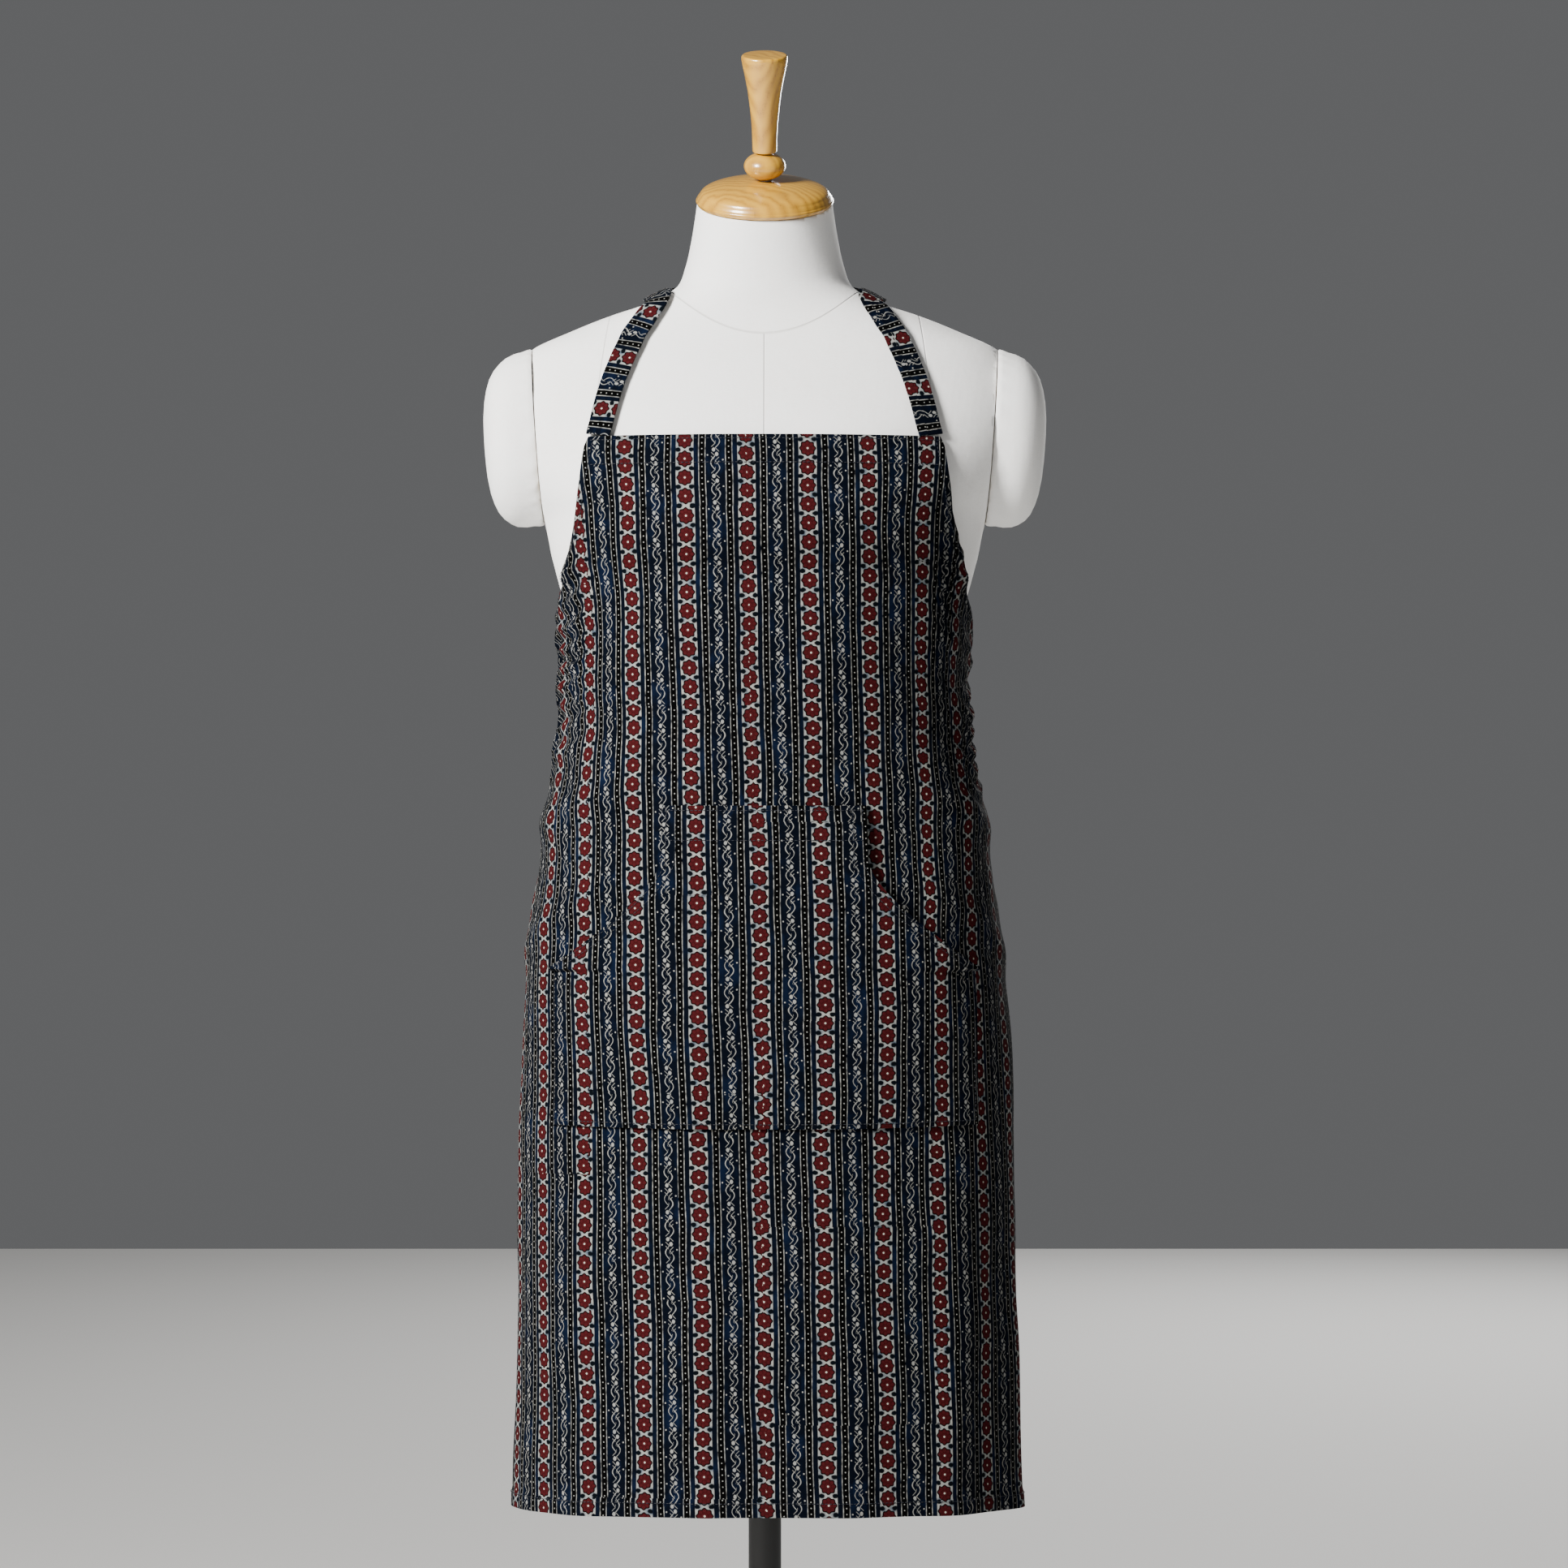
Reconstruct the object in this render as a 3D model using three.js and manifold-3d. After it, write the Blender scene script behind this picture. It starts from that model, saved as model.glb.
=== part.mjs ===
// A bib apron worn by a tailor's dress form that stands on a pole.
// Millimetres, +Z up, the front faces -Y; the origin is on the floor under the pole.
import * as THREE from 'three';
import { mergeVertices } from 'three/addons/utils/BufferGeometryUtils.js';
import Module from 'manifold-3d';

const wasm = await Module();
wasm.setup();

// ---------------------------------------------------------------- driving dimensions
const fitGap = 0.3; // between pieces that touch
const roundSides = 18; // facets of turned pieces
const smallSides = 10; // facets of pins and screws

// Dress form
const neckBaseHeight = 1400; // floor to the side of the neck's base
const bodyWidth = 336; // under the arms
const bodyDepth = 203; // under the arms, without the bust
const torsoLength = 680; // neck base to the bottom of the form
const bustRise = 14;
const bustSpacing = 156;
const bustDrop = 192;
const bustSpread = 38;
const coverThickness = 3;
const shellWall = 4;
const boardThickness = 12;
const plateThickness = 8;

// Neck cap and finial
const neckTilt = THREE.MathUtils.degToRad(22);
const neckCapRise = 61; // neck base to the middle of the cap's seat
const neckCapForward = 20;
const neckCapRadius = 52.3;
const neckCapHeight = 19;
const neckBlockThickness = 16;
const ballRadius = 15.8;
const ballHeight = 21;
const handleLength = 74;
const handleFootRadius = 9.2;
const handleTopRadius = 17.4;
const neckRodDiameter = 8;
const neckNutWidth = 13;
const neckNutHeight = 6.5;

// Armholes and arm caps
const armholeSpacing = bodyWidth + 8; // between the two armhole planes
const armholeDrop = 114;
const armholeTilt = THREE.MathUtils.degToRad(4);
const armholeCut = 75; // half height of the flat side
const armCapHeight = 132;
const armCapDepth = 104;
const armCapReach = 42;
const armBoardThickness = 6;
const armBoardMargin = 9;
const armPinDiameter = 6;
const armPinLength = 24;
const armPinSpacing = 60;

// Apron
const clothThickness = 1.6;
const clothClearance = 1.2;
const bibDrop = 121; // neck base to the bib's top edge
const bibWidth = 284;
const apronWidth = 700;
const apronLength = 798; // bib's top edge to the hem at the centre front
const armholeCurveDepth = 176;
const hemSideDrop = 20;
const strapWidth = 19;
const strapLift = 3;
const tieWidth = 26;
const tieTopDrop = 287;
const bowLoopLength = 78;
const bowLoopOpening = 22;
const bowLoopDroop = THREE.MathUtils.degToRad(28);
const bowTailLength = 300;
const bowKnotWidth = 30;
const bowKnotDepth = 15;

// Kangaroo pocket
const pocketTopDrop = 395;
const pocketHeight = 245;
const pocketTopWidth = 150;
const pocketWidth = 334;
const pocketMouthDrop = 41; // top edge to the start of the curved mouth
const pocketMouthHeight = 82;
const pocketBulge = 10;
const labelWidth = 5;
const labelHeight = 15;
const labelDrop = 16; // mouth's lower end to the label

// Stand
const poleDiameter = 25;
const poleWall = 1.5;
const poleInsertion = 216.6; // length of the pole inside the lower tube
const bushWall = 1.4;
const tubeWall = 1.5;
const tubeDiameter = poleDiameter + 2 * (2 * fitGap + bushWall + tubeWall);
const tubeTop = 372;
const bushLength = 32;
const glideLength = 20;
const collarDiameter = tubeDiameter + 14;
const collarHeight = 38;
const clampBore = 8;
const clampBossReach = collarDiameter / 2 + 8;
const clampBossDiameter = 20;
const padLength = 5;
const knobDiameter = 42;
const knobThickness = 16;
const knobReach = clampBossReach + 5; // pole axis to the knob's inner face
const flangeDiameter = 92;
const flangeThickness = 4;
const flangeSleeveWall = 4;
const flangeSleeveLength = 48;
const screwDiameter = 5;
const screwHeadDiameter = 9.5;
const screwHeadHeight = 3;
const flangeScrewLength = 12;
const flangeScrewCircle = 34; // radius
const baseDiameter = 360;
const baseThickness = 9;
const footDiameter = 34;
const footHeight = 5;
const footCircle = 148; // radius
const socketDiameter = 62;
const socketFlangeDiameter = 104;
const socketFlangeThickness = 7;
const socketHeight = 46;
const socketScrewCircle = 41; // radius
const socketScrewLength = 14;

// ---------------------------------------------------------------- places worked out from them
const formBottom = neckBaseHeight - torsoLength;
const bibTop = neckBaseHeight - bibDrop;
const hemHeight = bibTop - apronLength;
const basePlateBottom = footHeight + fitGap;
const basePlateTop = basePlateBottom + baseThickness;
const socketBottom = basePlateTop + fitGap;
const flangeTop = formBottom - fitGap;
const poleTop = flangeTop - flangeThickness - fitGap;
const poleBottom = tubeTop - poleInsertion;
const clampHeight = tubeTop - collarHeight / 2;
const collarTop = tubeTop;

// ---------------------------------------------------------------- colours
const finishes = {
  cotton: { color: 0xf0f0ee, roughness: 0.9, metalness: 0 },
  print: { color: 0x2a3340, roughness: 0.85, metalness: 0 },
  papier: { color: 0xb9a888, roughness: 0.9, metalness: 0 },
  lacqueredWood: { color: 0xc79a5a, roughness: 0.3, metalness: 0 },
  board: { color: 0xb08d5f, roughness: 0.7, metalness: 0 },
  blackSteel: { color: 0x111111, roughness: 0.45, metalness: 0.2 },
  steel: { color: 0x9a9c9e, roughness: 0.35, metalness: 1 },
  plastic: { color: 0x1a1a1a, roughness: 0.5, metalness: 0 },
  label: { color: 0x15151a, roughness: 0.8, metalness: 0 },
};
const materials = Object.fromEntries(
  Object.entries(finishes).map(([name, finish]) => [name, new THREE.MeshStandardMaterial(finish)]),
);

// ---------------------------------------------------------------- solids and meshes
function plainGeometry(geometry) {
  const plain = geometry.clone();
  plain.deleteAttribute('normal');
  plain.deleteAttribute('uv');
  return mergeVertices(plain, 1e-4);
}

function toSolid(geometry) {
  const plain = plainGeometry(geometry);
  const vertProperties = new Float32Array(plain.attributes.position.array);
  const triVerts = new Uint32Array(plain.index.array);
  return new wasm.Manifold(new wasm.Mesh({ numProp: 3, vertProperties, triVerts }));
}

function toGeometry(solid) {
  const { vertProperties, triVerts, numProp } = solid.getMesh();
  const positions = new Float32Array((vertProperties.length / numProp) * 3);
  for (let i = 0; i < positions.length / 3; i += 1) {
    positions.set(vertProperties.subarray(i * numProp, i * numProp + 3), i * 3);
  }
  const geometry = new THREE.BufferGeometry();
  geometry.setAttribute('position', new THREE.BufferAttribute(positions, 3));
  geometry.setIndex(new THREE.BufferAttribute(new Uint32Array(triVerts), 1));
  geometry.computeVertexNormals();
  return geometry;
}

function signedVolume(points, triangles) {
  let volume = 0;
  for (const [a, b, c] of triangles) {
    volume += points[a].dot(new THREE.Vector3().crossVectors(points[b], points[c])) / 6;
  }
  return volume;
}

// A closed geometry from points and triangles, turned so that its faces point out.
function closedGeometry(points, triangles) {
  const flip = signedVolume(points, triangles) < 0;
  const index = triangles.flatMap(([a, b, c]) => (flip ? [a, c, b] : [a, b, c]));
  const geometry = new THREE.BufferGeometry().setFromPoints(points);
  geometry.setIndex(index);
  geometry.computeVertexNormals();
  return geometry;
}

// Rings of points, each with the same count, joined up and closed at both ends.
function loftGeometry(rings) {
  const count = rings[0].length;
  const points = rings.flat();
  const triangles = [];
  for (let ring = 0; ring + 1 < rings.length; ring += 1) {
    for (let i = 0; i < count; i += 1) {
      const here = ring * count + i;
      const next = ring * count + ((i + 1) % count);
      triangles.push([here, next, next + count], [here, next + count, here + count]);
    }
  }
  for (const [ring, turn] of [[0, true], [rings.length - 1, false]]) {
    const middle = points.length;
    const centre = new THREE.Vector3();
    rings[ring].forEach((point) => centre.addScaledVector(point, 1 / count));
    points.push(centre);
    for (let i = 0; i < count; i += 1) {
      const here = ring * count + i;
      const next = ring * count + ((i + 1) % count);
      triangles.push(turn ? [middle, next, here] : [middle, here, next]);
    }
  }
  return closedGeometry(points, triangles);
}

// A sheet with a thickness: pointAt(column, row, side) with side 0 inside and 1 outside.
function sheetGeometry(columns, rows, pointAt) {
  const points = [];
  const number = (column, row, side) => (side * (rows + 1) + row) * (columns + 1) + column;
  for (const side of [0, 1]) {
    for (let row = 0; row <= rows; row += 1) {
      for (let column = 0; column <= columns; column += 1) {
        points.push(pointAt(column / columns, row / rows, side));
      }
    }
  }
  const triangles = [];
  const quad = (a, b, c, d) => triangles.push([a, b, c], [a, c, d]);
  for (let row = 0; row < rows; row += 1) {
    for (let column = 0; column < columns; column += 1) {
      const corners = [[0, 0], [1, 0], [1, 1], [0, 1]].map(([x, y]) => [column + x, row + y]);
      quad(...corners.map(([x, y]) => number(x, y, 1)));
      quad(...corners.reverse().map(([x, y]) => number(x, y, 0)));
    }
  }
  for (let column = 0; column < columns; column += 1) {
    const [a, b] = [column, column + 1];
    quad(number(a, 0, 0), number(b, 0, 0), number(b, 0, 1), number(a, 0, 1));
    quad(number(b, rows, 0), number(a, rows, 0), number(a, rows, 1), number(b, rows, 1));
  }
  for (let row = 0; row < rows; row += 1) {
    const [a, b] = [row, row + 1];
    quad(number(0, b, 0), number(0, a, 0), number(0, a, 1), number(0, b, 1));
    quad(number(columns, a, 0), number(columns, b, 0), number(columns, b, 1), number(columns, a, 1));
  }
  return closedGeometry(points, triangles);
}

const object = new THREE.Group();

function addMesh(name, geometry, material, parent = object) {
  const mesh = new THREE.Mesh(geometry, material);
  mesh.name = name;
  parent.add(mesh);
  return mesh;
}

// A turned piece about Z from [radius, height] pairs.
function turned(profile, sides = roundSides) {
  const geometry = new THREE.LatheGeometry(profile.map(([r, z]) => new THREE.Vector2(r, z)), sides);
  geometry.rotateX(Math.PI / 2);
  const plain = plainGeometry(geometry);
  const points = [];
  for (let i = 0; i < plain.attributes.position.count; i += 1) {
    points.push(new THREE.Vector3().fromBufferAttribute(plain.attributes.position, i));
  }
  const triangles = [];
  for (let i = 0; i < plain.index.count; i += 3) {
    const corners = [0, 1, 2].map((step) => plain.index.getX(i + step));
    if (new Set(corners).size === 3) {
      triangles.push(corners);
    }
  }
  return closedGeometry(points, triangles);
}

const rod = (radius, bottom, top, sides = roundSides) => turned(
  [[0, bottom], [radius, bottom], [radius, top], [0, top]],
  sides,
);
const ring = (inner, outer, bottom, top) => turned(
  [[inner, bottom], [outer, bottom], [outer, top], [inner, top], [inner, bottom]],
);

function boxSolid(width, depth, height, matrix) {
  return toSolid(new THREE.BoxGeometry(width, depth, height).applyMatrix4(matrix));
}

// ---------------------------------------------------------------- the body's form
// Drop below the neck base, half width, reach to the front, reach to the back,
// for a form 336 wide and 203 deep under the arms.
const standardWidth = 336;
const standardDepth = 203;
const bodySections = [
  [-110, 47, 80, 25],
  [-62, 52, 70, 30],
  [-33, 56.5, 64, 35],
  [-14, 61, 60, 46],
  [0, 67, 58, 58],
  [8, 79, 57.5, 65],
  [14, 92, 57, 70],
  [23, 120, 57, 76],
  [35, 150, 60, 82],
  [48, 178, 66, 87],
  [65, 191, 76, 91],
  [90, 200, 89, 95],
  [114, 200, 100, 96],
  [140, 192, 108, 95],
  [160, 181, 112, 92],
  [178, 169, 113, 90],
  [208, 162, 110, 86],
  [250, 150, 98, 78],
  [300, 131, 88, 70],
  [340, 122, 83, 66],
  [380, 130, 86, 72],
  [430, 154, 92, 94],
  [480, 168, 97, 112],
  [530, 173, 98, 118],
  [590, 171, 96, 114],
  [720, 160, 90, 104],
];
const roundness = 2.15;

// Smooth values between the rows of a table whose first column rises.
function betweenRows(rows, position) {
  const last = rows.length - 1;
  let lower = rows.findIndex((row, i) => i === last - 1 || position < rows[i + 1][0]);
  lower = Math.max(lower, 0);
  const at = (i) => rows[THREE.MathUtils.clamp(i, 0, last)];
  const [before, from, to, after] = [at(lower - 1), at(lower), at(lower + 1), at(lower + 2)];
  const span = to[0] - from[0];
  const t = THREE.MathUtils.clamp((position - from[0]) / span, 0, 1);
  return from.slice(1).map((value, column) => {
    const i = column + 1;
    const leave = ((to[i] - before[i]) / (to[0] - before[0] || span)) * span;
    const arrive = ((after[i] - from[i]) / (after[0] - from[0] || span)) * span;
    const t2 = t * t;
    const t3 = t2 * t;
    return (2 * t3 - 3 * t2 + 1) * value + (t3 - 2 * t2 + t) * leave
      + (3 * t2 - 2 * t3) * to[i] + (t3 - t2) * arrive;
  });
}

function bodySection(height) {
  const [halfWidth, front, back] = betweenRows(bodySections, neckBaseHeight - height);
  const widthScale = bodyWidth / standardWidth;
  const depthScale = bodyDepth / standardDepth;
  return { halfWidth: halfWidth * widthScale, front: front * depthScale, back: back * depthScale };
}

// A point of a rounded section; the angle runs from the centre front towards +X.
function sectionPoint(section, angle, height) {
  const bend = (value) => Math.sign(value) * Math.abs(value) ** (2 / roundness);
  const reach = Math.cos(angle) > 0 ? section.front : section.back;
  return new THREE.Vector3(
    section.halfWidth * bend(Math.sin(angle)),
    -reach * bend(Math.cos(angle)),
    height,
  );
}

function bustAt(x, height) {
  const across = (Math.abs(x) - bustSpacing / 2) / bustSpread;
  const along = (neckBaseHeight - height - bustDrop) / bustSpread;
  return bustRise * Math.exp(-(across * across + along * along) / 2);
}

function bodyPoint(angle, height) {
  const point = sectionPoint(bodySection(height), angle, height);
  if (point.y < 0) {
    point.y -= bustAt(point.x, height) * Math.min(1, -point.y / 40);
  }
  return point;
}

// A body point moved outwards along the surface's normal.
function bodyPointOut(angle, height, distance) {
  const step = 0.02;
  const rise = 1.5;
  const across = bodyPoint(angle + step, height).sub(bodyPoint(angle - step, height));
  const along = bodyPoint(angle, height + rise).sub(bodyPoint(angle, height - rise));
  const normal = across.cross(along).normalize();
  return bodyPoint(angle, height).addScaledVector(normal, distance);
}

const bodySides = 24;
const bodyDrops = [-100, -50, -14, 0, 8, 15, 24, 36, 52, 76, 110, 145, 178, 206, 250, 300, 345,
  410, 480, 570, 705];

function bodySolid(inset) {
  const rings = bodyDrops.map((drop) => {
    const height = neckBaseHeight - drop;
    return Array.from({ length: bodySides }, (unused, i) => (
      bodyPointOut((i / bodySides) * 2 * Math.PI, height, -inset)
    ));
  });
  return toSolid(loftGeometry(rings));
}

// ---------------------------------------------------------------- cutting tools for the form
const big = 1200;
const neckPlace = new THREE.Matrix4().makeRotationX(neckTilt)
  .setPosition(0, -neckCapForward, neckBaseHeight + neckCapRise);

function armholePlace(side) {
  return new THREE.Matrix4().makeRotationY(side * armholeTilt)
    .setPosition((side * armholeSpacing) / 2, 0, neckBaseHeight - armholeDrop);
}

const shifted = (place, x, y, z) => place.clone().multiply(new THREE.Matrix4().makeTranslation(x, y, z));

// What is kept of the body: above its bottom, below the neck cap, between the armholes.
function trimBody(solid) {
  const below = new THREE.Matrix4().makeTranslation(0, 0, formBottom - big / 2);
  let kept = solid.subtract(boxSolid(big, big, big, below));
  kept = kept.subtract(boxSolid(big, big, big, shifted(neckPlace, 0, 0, big / 2)));
  for (const side of [-1, 1]) {
    const outside = shifted(armholePlace(side), (side * big) / 2, 0, 0);
    kept = kept.subtract(boxSolid(big, big, 2 * armholeCut, outside));
  }
  return kept;
}

const shellInset = coverThickness + fitGap;
const hollowInset = shellInset + shellWall;
const boardInset = hollowInset + fitGap;
const boardSolid = bodySolid(boardInset);

// ---------------------------------------------------------------- dress form
function addTorso() {
  const cover = trimBody(bodySolid(0).subtract(bodySolid(coverThickness)));
  addMesh('torso_cover', toGeometry(cover), materials.cotton);
  const shell = trimBody(bodySolid(shellInset).subtract(bodySolid(hollowInset)));
  addMesh('torso_shell', toGeometry(shell), materials.papier);
}

const flangeScrewAngles = [30, 150, 270].map(THREE.MathUtils.degToRad);
const onCircle = (radius, angle) => [radius * Math.cos(angle), radius * Math.sin(angle)];

function addBottomBoard() {
  const slab = new THREE.Matrix4().makeTranslation(0, 0, formBottom + boardThickness / 2);
  let board = boardSolid.intersect(boxSolid(big, big, boardThickness, slab));
  for (const angle of flangeScrewAngles) {
    const hole = rod(screwDiameter / 2 + fitGap, formBottom - 1, formBottom + flangeScrewLength, smallSides);
    hole.translate(...onCircle(flangeScrewCircle, angle), 0);
    board = board.subtract(toSolid(hole));
  }
  addMesh('bottom_board', toGeometry(board), materials.board);
}

function addNeck() {
  const neck = new THREE.Group();
  neck.applyMatrix4(neckPlace);
  object.add(neck);
  const holeRadius = neckRodDiameter / 2 + fitGap;

  const slab = shifted(neckPlace, 0, 0, -neckBlockThickness / 2);
  const hole = rod(holeRadius, -2 * neckBlockThickness, neckBlockThickness).applyMatrix4(neckPlace);
  const block = boardSolid.intersect(boxSolid(big, big, neckBlockThickness, slab));
  addMesh('neck_block', toGeometry(block.subtract(toSolid(hole))), materials.board);

  const dome = [];
  for (const angle of [0, 22, 44, 68]) {
    const turn = THREE.MathUtils.degToRad(angle);
    dome.push([neckCapRadius * Math.cos(turn), 6 + (neckCapHeight - 6) * Math.sin(turn)]);
  }
  const capBottom = fitGap;
  addMesh('neck_cap', turned([
    [holeRadius, capBottom],
    [neckCapRadius - 2, capBottom],
    [neckCapRadius, capBottom + 2],
    ...dome,
    [holeRadius, neckCapHeight],
    [holeRadius, capBottom],
  ], 24), materials.lacqueredWood, neck);

  const ballBottom = neckCapHeight + fitGap;
  const ballTop = ballBottom + ballHeight;
  const rodTop = ballTop - 4;
  const ballSide = [];
  for (const angle of [-60, -30, 0, 30, 60]) {
    const turn = THREE.MathUtils.degToRad(angle);
    const middle = (ballBottom + ballTop) / 2;
    ballSide.push([ballRadius * Math.cos(turn), middle + (ballHeight / 2) * Math.sin(turn)]);
  }
  addMesh('finial_ball', turned([
    [holeRadius, ballBottom],
    ...ballSide,
    [0, ballTop],
    [0, rodTop + fitGap],
    [holeRadius, rodTop + fitGap],
    [holeRadius, ballBottom],
  ]), materials.lacqueredWood, neck);

  const handleBottom = ballTop + fitGap;
  const handleTop = handleBottom + handleLength;
  addMesh('finial_handle', turned([
    [0, handleBottom],
    [handleFootRadius, handleBottom],
    [handleFootRadius + 0.8, handleBottom + handleLength * 0.3],
    [handleFootRadius + 3.4, handleBottom + handleLength * 0.65],
    [handleTopRadius, handleTop - 4],
    [handleTopRadius - 1.2, handleTop],
    [0, handleTop],
  ]), materials.lacqueredWood, neck);

  const nutTop = -neckBlockThickness - fitGap;
  const rodBottom = nutTop - neckNutHeight - 8;
  addMesh('neck_rod', rod(neckRodDiameter / 2, rodBottom, rodTop), materials.steel, neck);
  const nut = toSolid(turned([
    [0, nutTop - neckNutHeight],
    [neckNutWidth / Math.sqrt(3), nutTop - neckNutHeight],
    [neckNutWidth / Math.sqrt(3), nutTop],
    [0, nutTop],
  ], 6)).subtract(toSolid(rod(holeRadius, nutTop - 2 * neckNutHeight, nutTop + 1)));
  addMesh('neck_nut', toGeometry(nut), materials.steel, neck);
}

// The arm cap's outline at a reach from the armhole plane, as a share of its base.
const armCapSteps = [[0, 1], [0.34, 1], [0.62, 0.93], [0.83, 0.78], [0.95, 0.55], [1, 0.28]];
const armCapSides = 22;
const armPinHeights = [-armPinSpacing / 2, armPinSpacing / 2];

function armOutline(reach, share, side, margin = 0) {
  const sag = 6 * (reach / armCapReach);
  return Array.from({ length: armCapSides }, (unused, i) => {
    const angle = (i / armCapSides) * 2 * Math.PI;
    const bend = (value) => Math.sign(value) * Math.abs(value) ** 0.9;
    return new THREE.Vector3(
      side * reach,
      (armCapDepth / 2 - margin) * share * bend(Math.cos(angle)),
      (armCapHeight / 2 - margin) * share * bend(Math.sin(angle)) - sag,
    );
  });
}

function alongArm(geometry, side) {
  return geometry.rotateY((side * Math.PI) / 2);
}

function addArm(side) {
  const label = side < 0 ? 'left' : 'right';
  const place = armholePlace(side);
  const arm = new THREE.Group();
  arm.applyMatrix4(place);
  object.add(arm);

  const slab = shifted(place, (-side * plateThickness) / 2, 0, 0);
  let plate = boardSolid.intersect(boxSolid(plateThickness, big, 2 * armholeCut, slab));
  const boardInner = fitGap;
  const boardOuter = boardInner + armBoardThickness;
  let board = toSolid(loftGeometry([
    armOutline(boardInner, 1, side, armBoardMargin),
    armOutline(boardOuter, 1, side, armBoardMargin),
  ]));
  armPinHeights.forEach((height, number) => {
    const hole = rod(armPinDiameter / 2 + fitGap, -2 * armPinLength, boardOuter - 1, smallSides);
    const cutter = alongArm(hole, side).translate(0, 0, height);
    board = board.subtract(toSolid(cutter));
    plate = plate.subtract(toSolid(cutter.clone().applyMatrix4(place)));
    const pinOuter = boardOuter - 1 - fitGap;
    const pin = alongArm(
      rod(armPinDiameter / 2, pinOuter - armPinLength, pinOuter, smallSides),
      side,
    );
    addMesh(`arm_pin_${label}_${number + 1}`, pin.translate(0, 0, height), materials.steel, arm);
  });
  addMesh(`arm_plate_${label}`, toGeometry(plate), materials.board);
  addMesh(`arm_cap_board_${label}`, toGeometry(board), materials.board, arm);

  const outside = armCapSteps.map(([reach, share]) => (
    armOutline(fitGap + reach * (armCapReach - fitGap), share, side)
  ));
  const recess = toSolid(loftGeometry([
    armOutline(-1, 1, side, armBoardMargin - fitGap),
    armOutline(boardOuter + fitGap, 1, side, armBoardMargin - fitGap),
  ]));
  const pad = toSolid(loftGeometry(outside)).subtract(recess);
  addMesh(`arm_cap_${label}`, toGeometry(pad), materials.cotton, arm);
}

// ---------------------------------------------------------------- apron
// How the cloth hangs where nothing under it pushes it out:
// drop below the neck base, half width, reach to the front, reach to the back.
const hangSections = [
  [100, 100, 80, 60],
  [180, 150, 116, 70],
  [240, 155, 122, 80],
  [290, 151, 119, 80],
  [340, 153, 115, 84],
  [380, 160, 113, 92],
  [430, 168, 113, 102],
  [480, 175, 114, 114],
  [530, 180, 115, 122],
  [590, 184, 116, 124],
  [760, 186, 116, 122],
  [960, 190, 117, 120],
];

function clothSection(height) {
  const body = bodySection(height);
  const [width, front, back] = betweenRows(hangSections, neckBaseHeight - height);
  const overBust = 1.25 * bustAt(bustSpacing / 2, height);
  const widthScale = bodyWidth / standardWidth;
  const depthScale = bodyDepth / standardDepth;
  return {
    halfWidth: Math.max(body.halfWidth + clothClearance, width * widthScale),
    front: Math.max(body.front + overBust + clothClearance, front * depthScale),
    back: Math.max(body.back + clothClearance, back * depthScale),
  };
}

// Half way round a section: points from the centre front to the centre back.
const arcSteps = 90;
function halfSection(height) {
  const section = clothSection(height);
  const points = [];
  for (let i = 0; i <= arcSteps; i += 1) {
    points.push(sectionPoint(section, (i / arcSteps) * Math.PI, height));
  }
  return points;
}

// The cloth's place at a distance across from the centre front, moved out by lift.
function clothPoint(across, height, lift) {
  const points = halfSection(height);
  let left = Math.abs(across);
  let i = 0;
  while (i + 2 < points.length && left > points[i].distanceTo(points[i + 1])) {
    left -= points[i].distanceTo(points[i + 1]);
    i += 1;
  }
  const along = points[i + 1].clone().sub(points[i]).normalize();
  const point = points[i].clone().addScaledVector(along, left);
  point.x += along.y * -lift * -1;
  point.y += along.x * -lift;
  if (across < 0) {
    point.x *= -1;
  }
  return point;
}

// Half the apron's width at a depth below the bib's top edge.
function apronHalfWidth(depth) {
  if (depth >= armholeCurveDepth) {
    return apronWidth / 2;
  }
  const share = depth / armholeCurveDepth;
  const curve = 1 - (1 - share ** 2.6) ** 0.42;
  return bibWidth / 2 + 0.16 * depth + (apronWidth / 2 - bibWidth / 2 - 0.16 * armholeCurveDepth) * curve;
}

function apronPoint(across, depth, lift) {
  const sideDrop = hemSideDrop * (depth / apronLength) * across * across;
  return clothPoint(across * apronHalfWidth(depth), bibTop - depth - sideDrop, lift);
}

function addApronBody() {
  const bibRows = [0, 0.2, 0.41, 0.59, 0.75, 0.88, 0.96, 1];
  const skirtRows = [0.08, 0.17, 0.28, 0.41, 0.59, 1];
  const depths = [
    ...bibRows.map((share) => share * armholeCurveDepth),
    ...skirtRows.map((share) => armholeCurveDepth + share * (apronLength - armholeCurveDepth)),
  ];
  const rows = depths.length - 1;
  const geometry = sheetGeometry(22, rows, (u, v, side) => (
    apronPoint(2 * u - 1, depths[Math.round(v * rows)], side * clothThickness)
  ));
  addMesh('apron_body', geometry, materials.print);
}

const pocketTop = neckBaseHeight - pocketTopDrop;
const pocketBottom = pocketTop - pocketHeight;
const mouthTop = pocketTop - pocketMouthDrop;
const mouthBottom = mouthTop - pocketMouthHeight;

function pocketHalfWidth(height) {
  if (height >= mouthTop) {
    return pocketTopWidth / 2;
  }
  if (height <= mouthBottom) {
    return pocketWidth / 2;
  }
  const share = (mouthTop - height) / pocketMouthHeight;
  return pocketTopWidth / 2 + ((pocketWidth - pocketTopWidth) / 2) * share ** 1.5;
}

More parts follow.
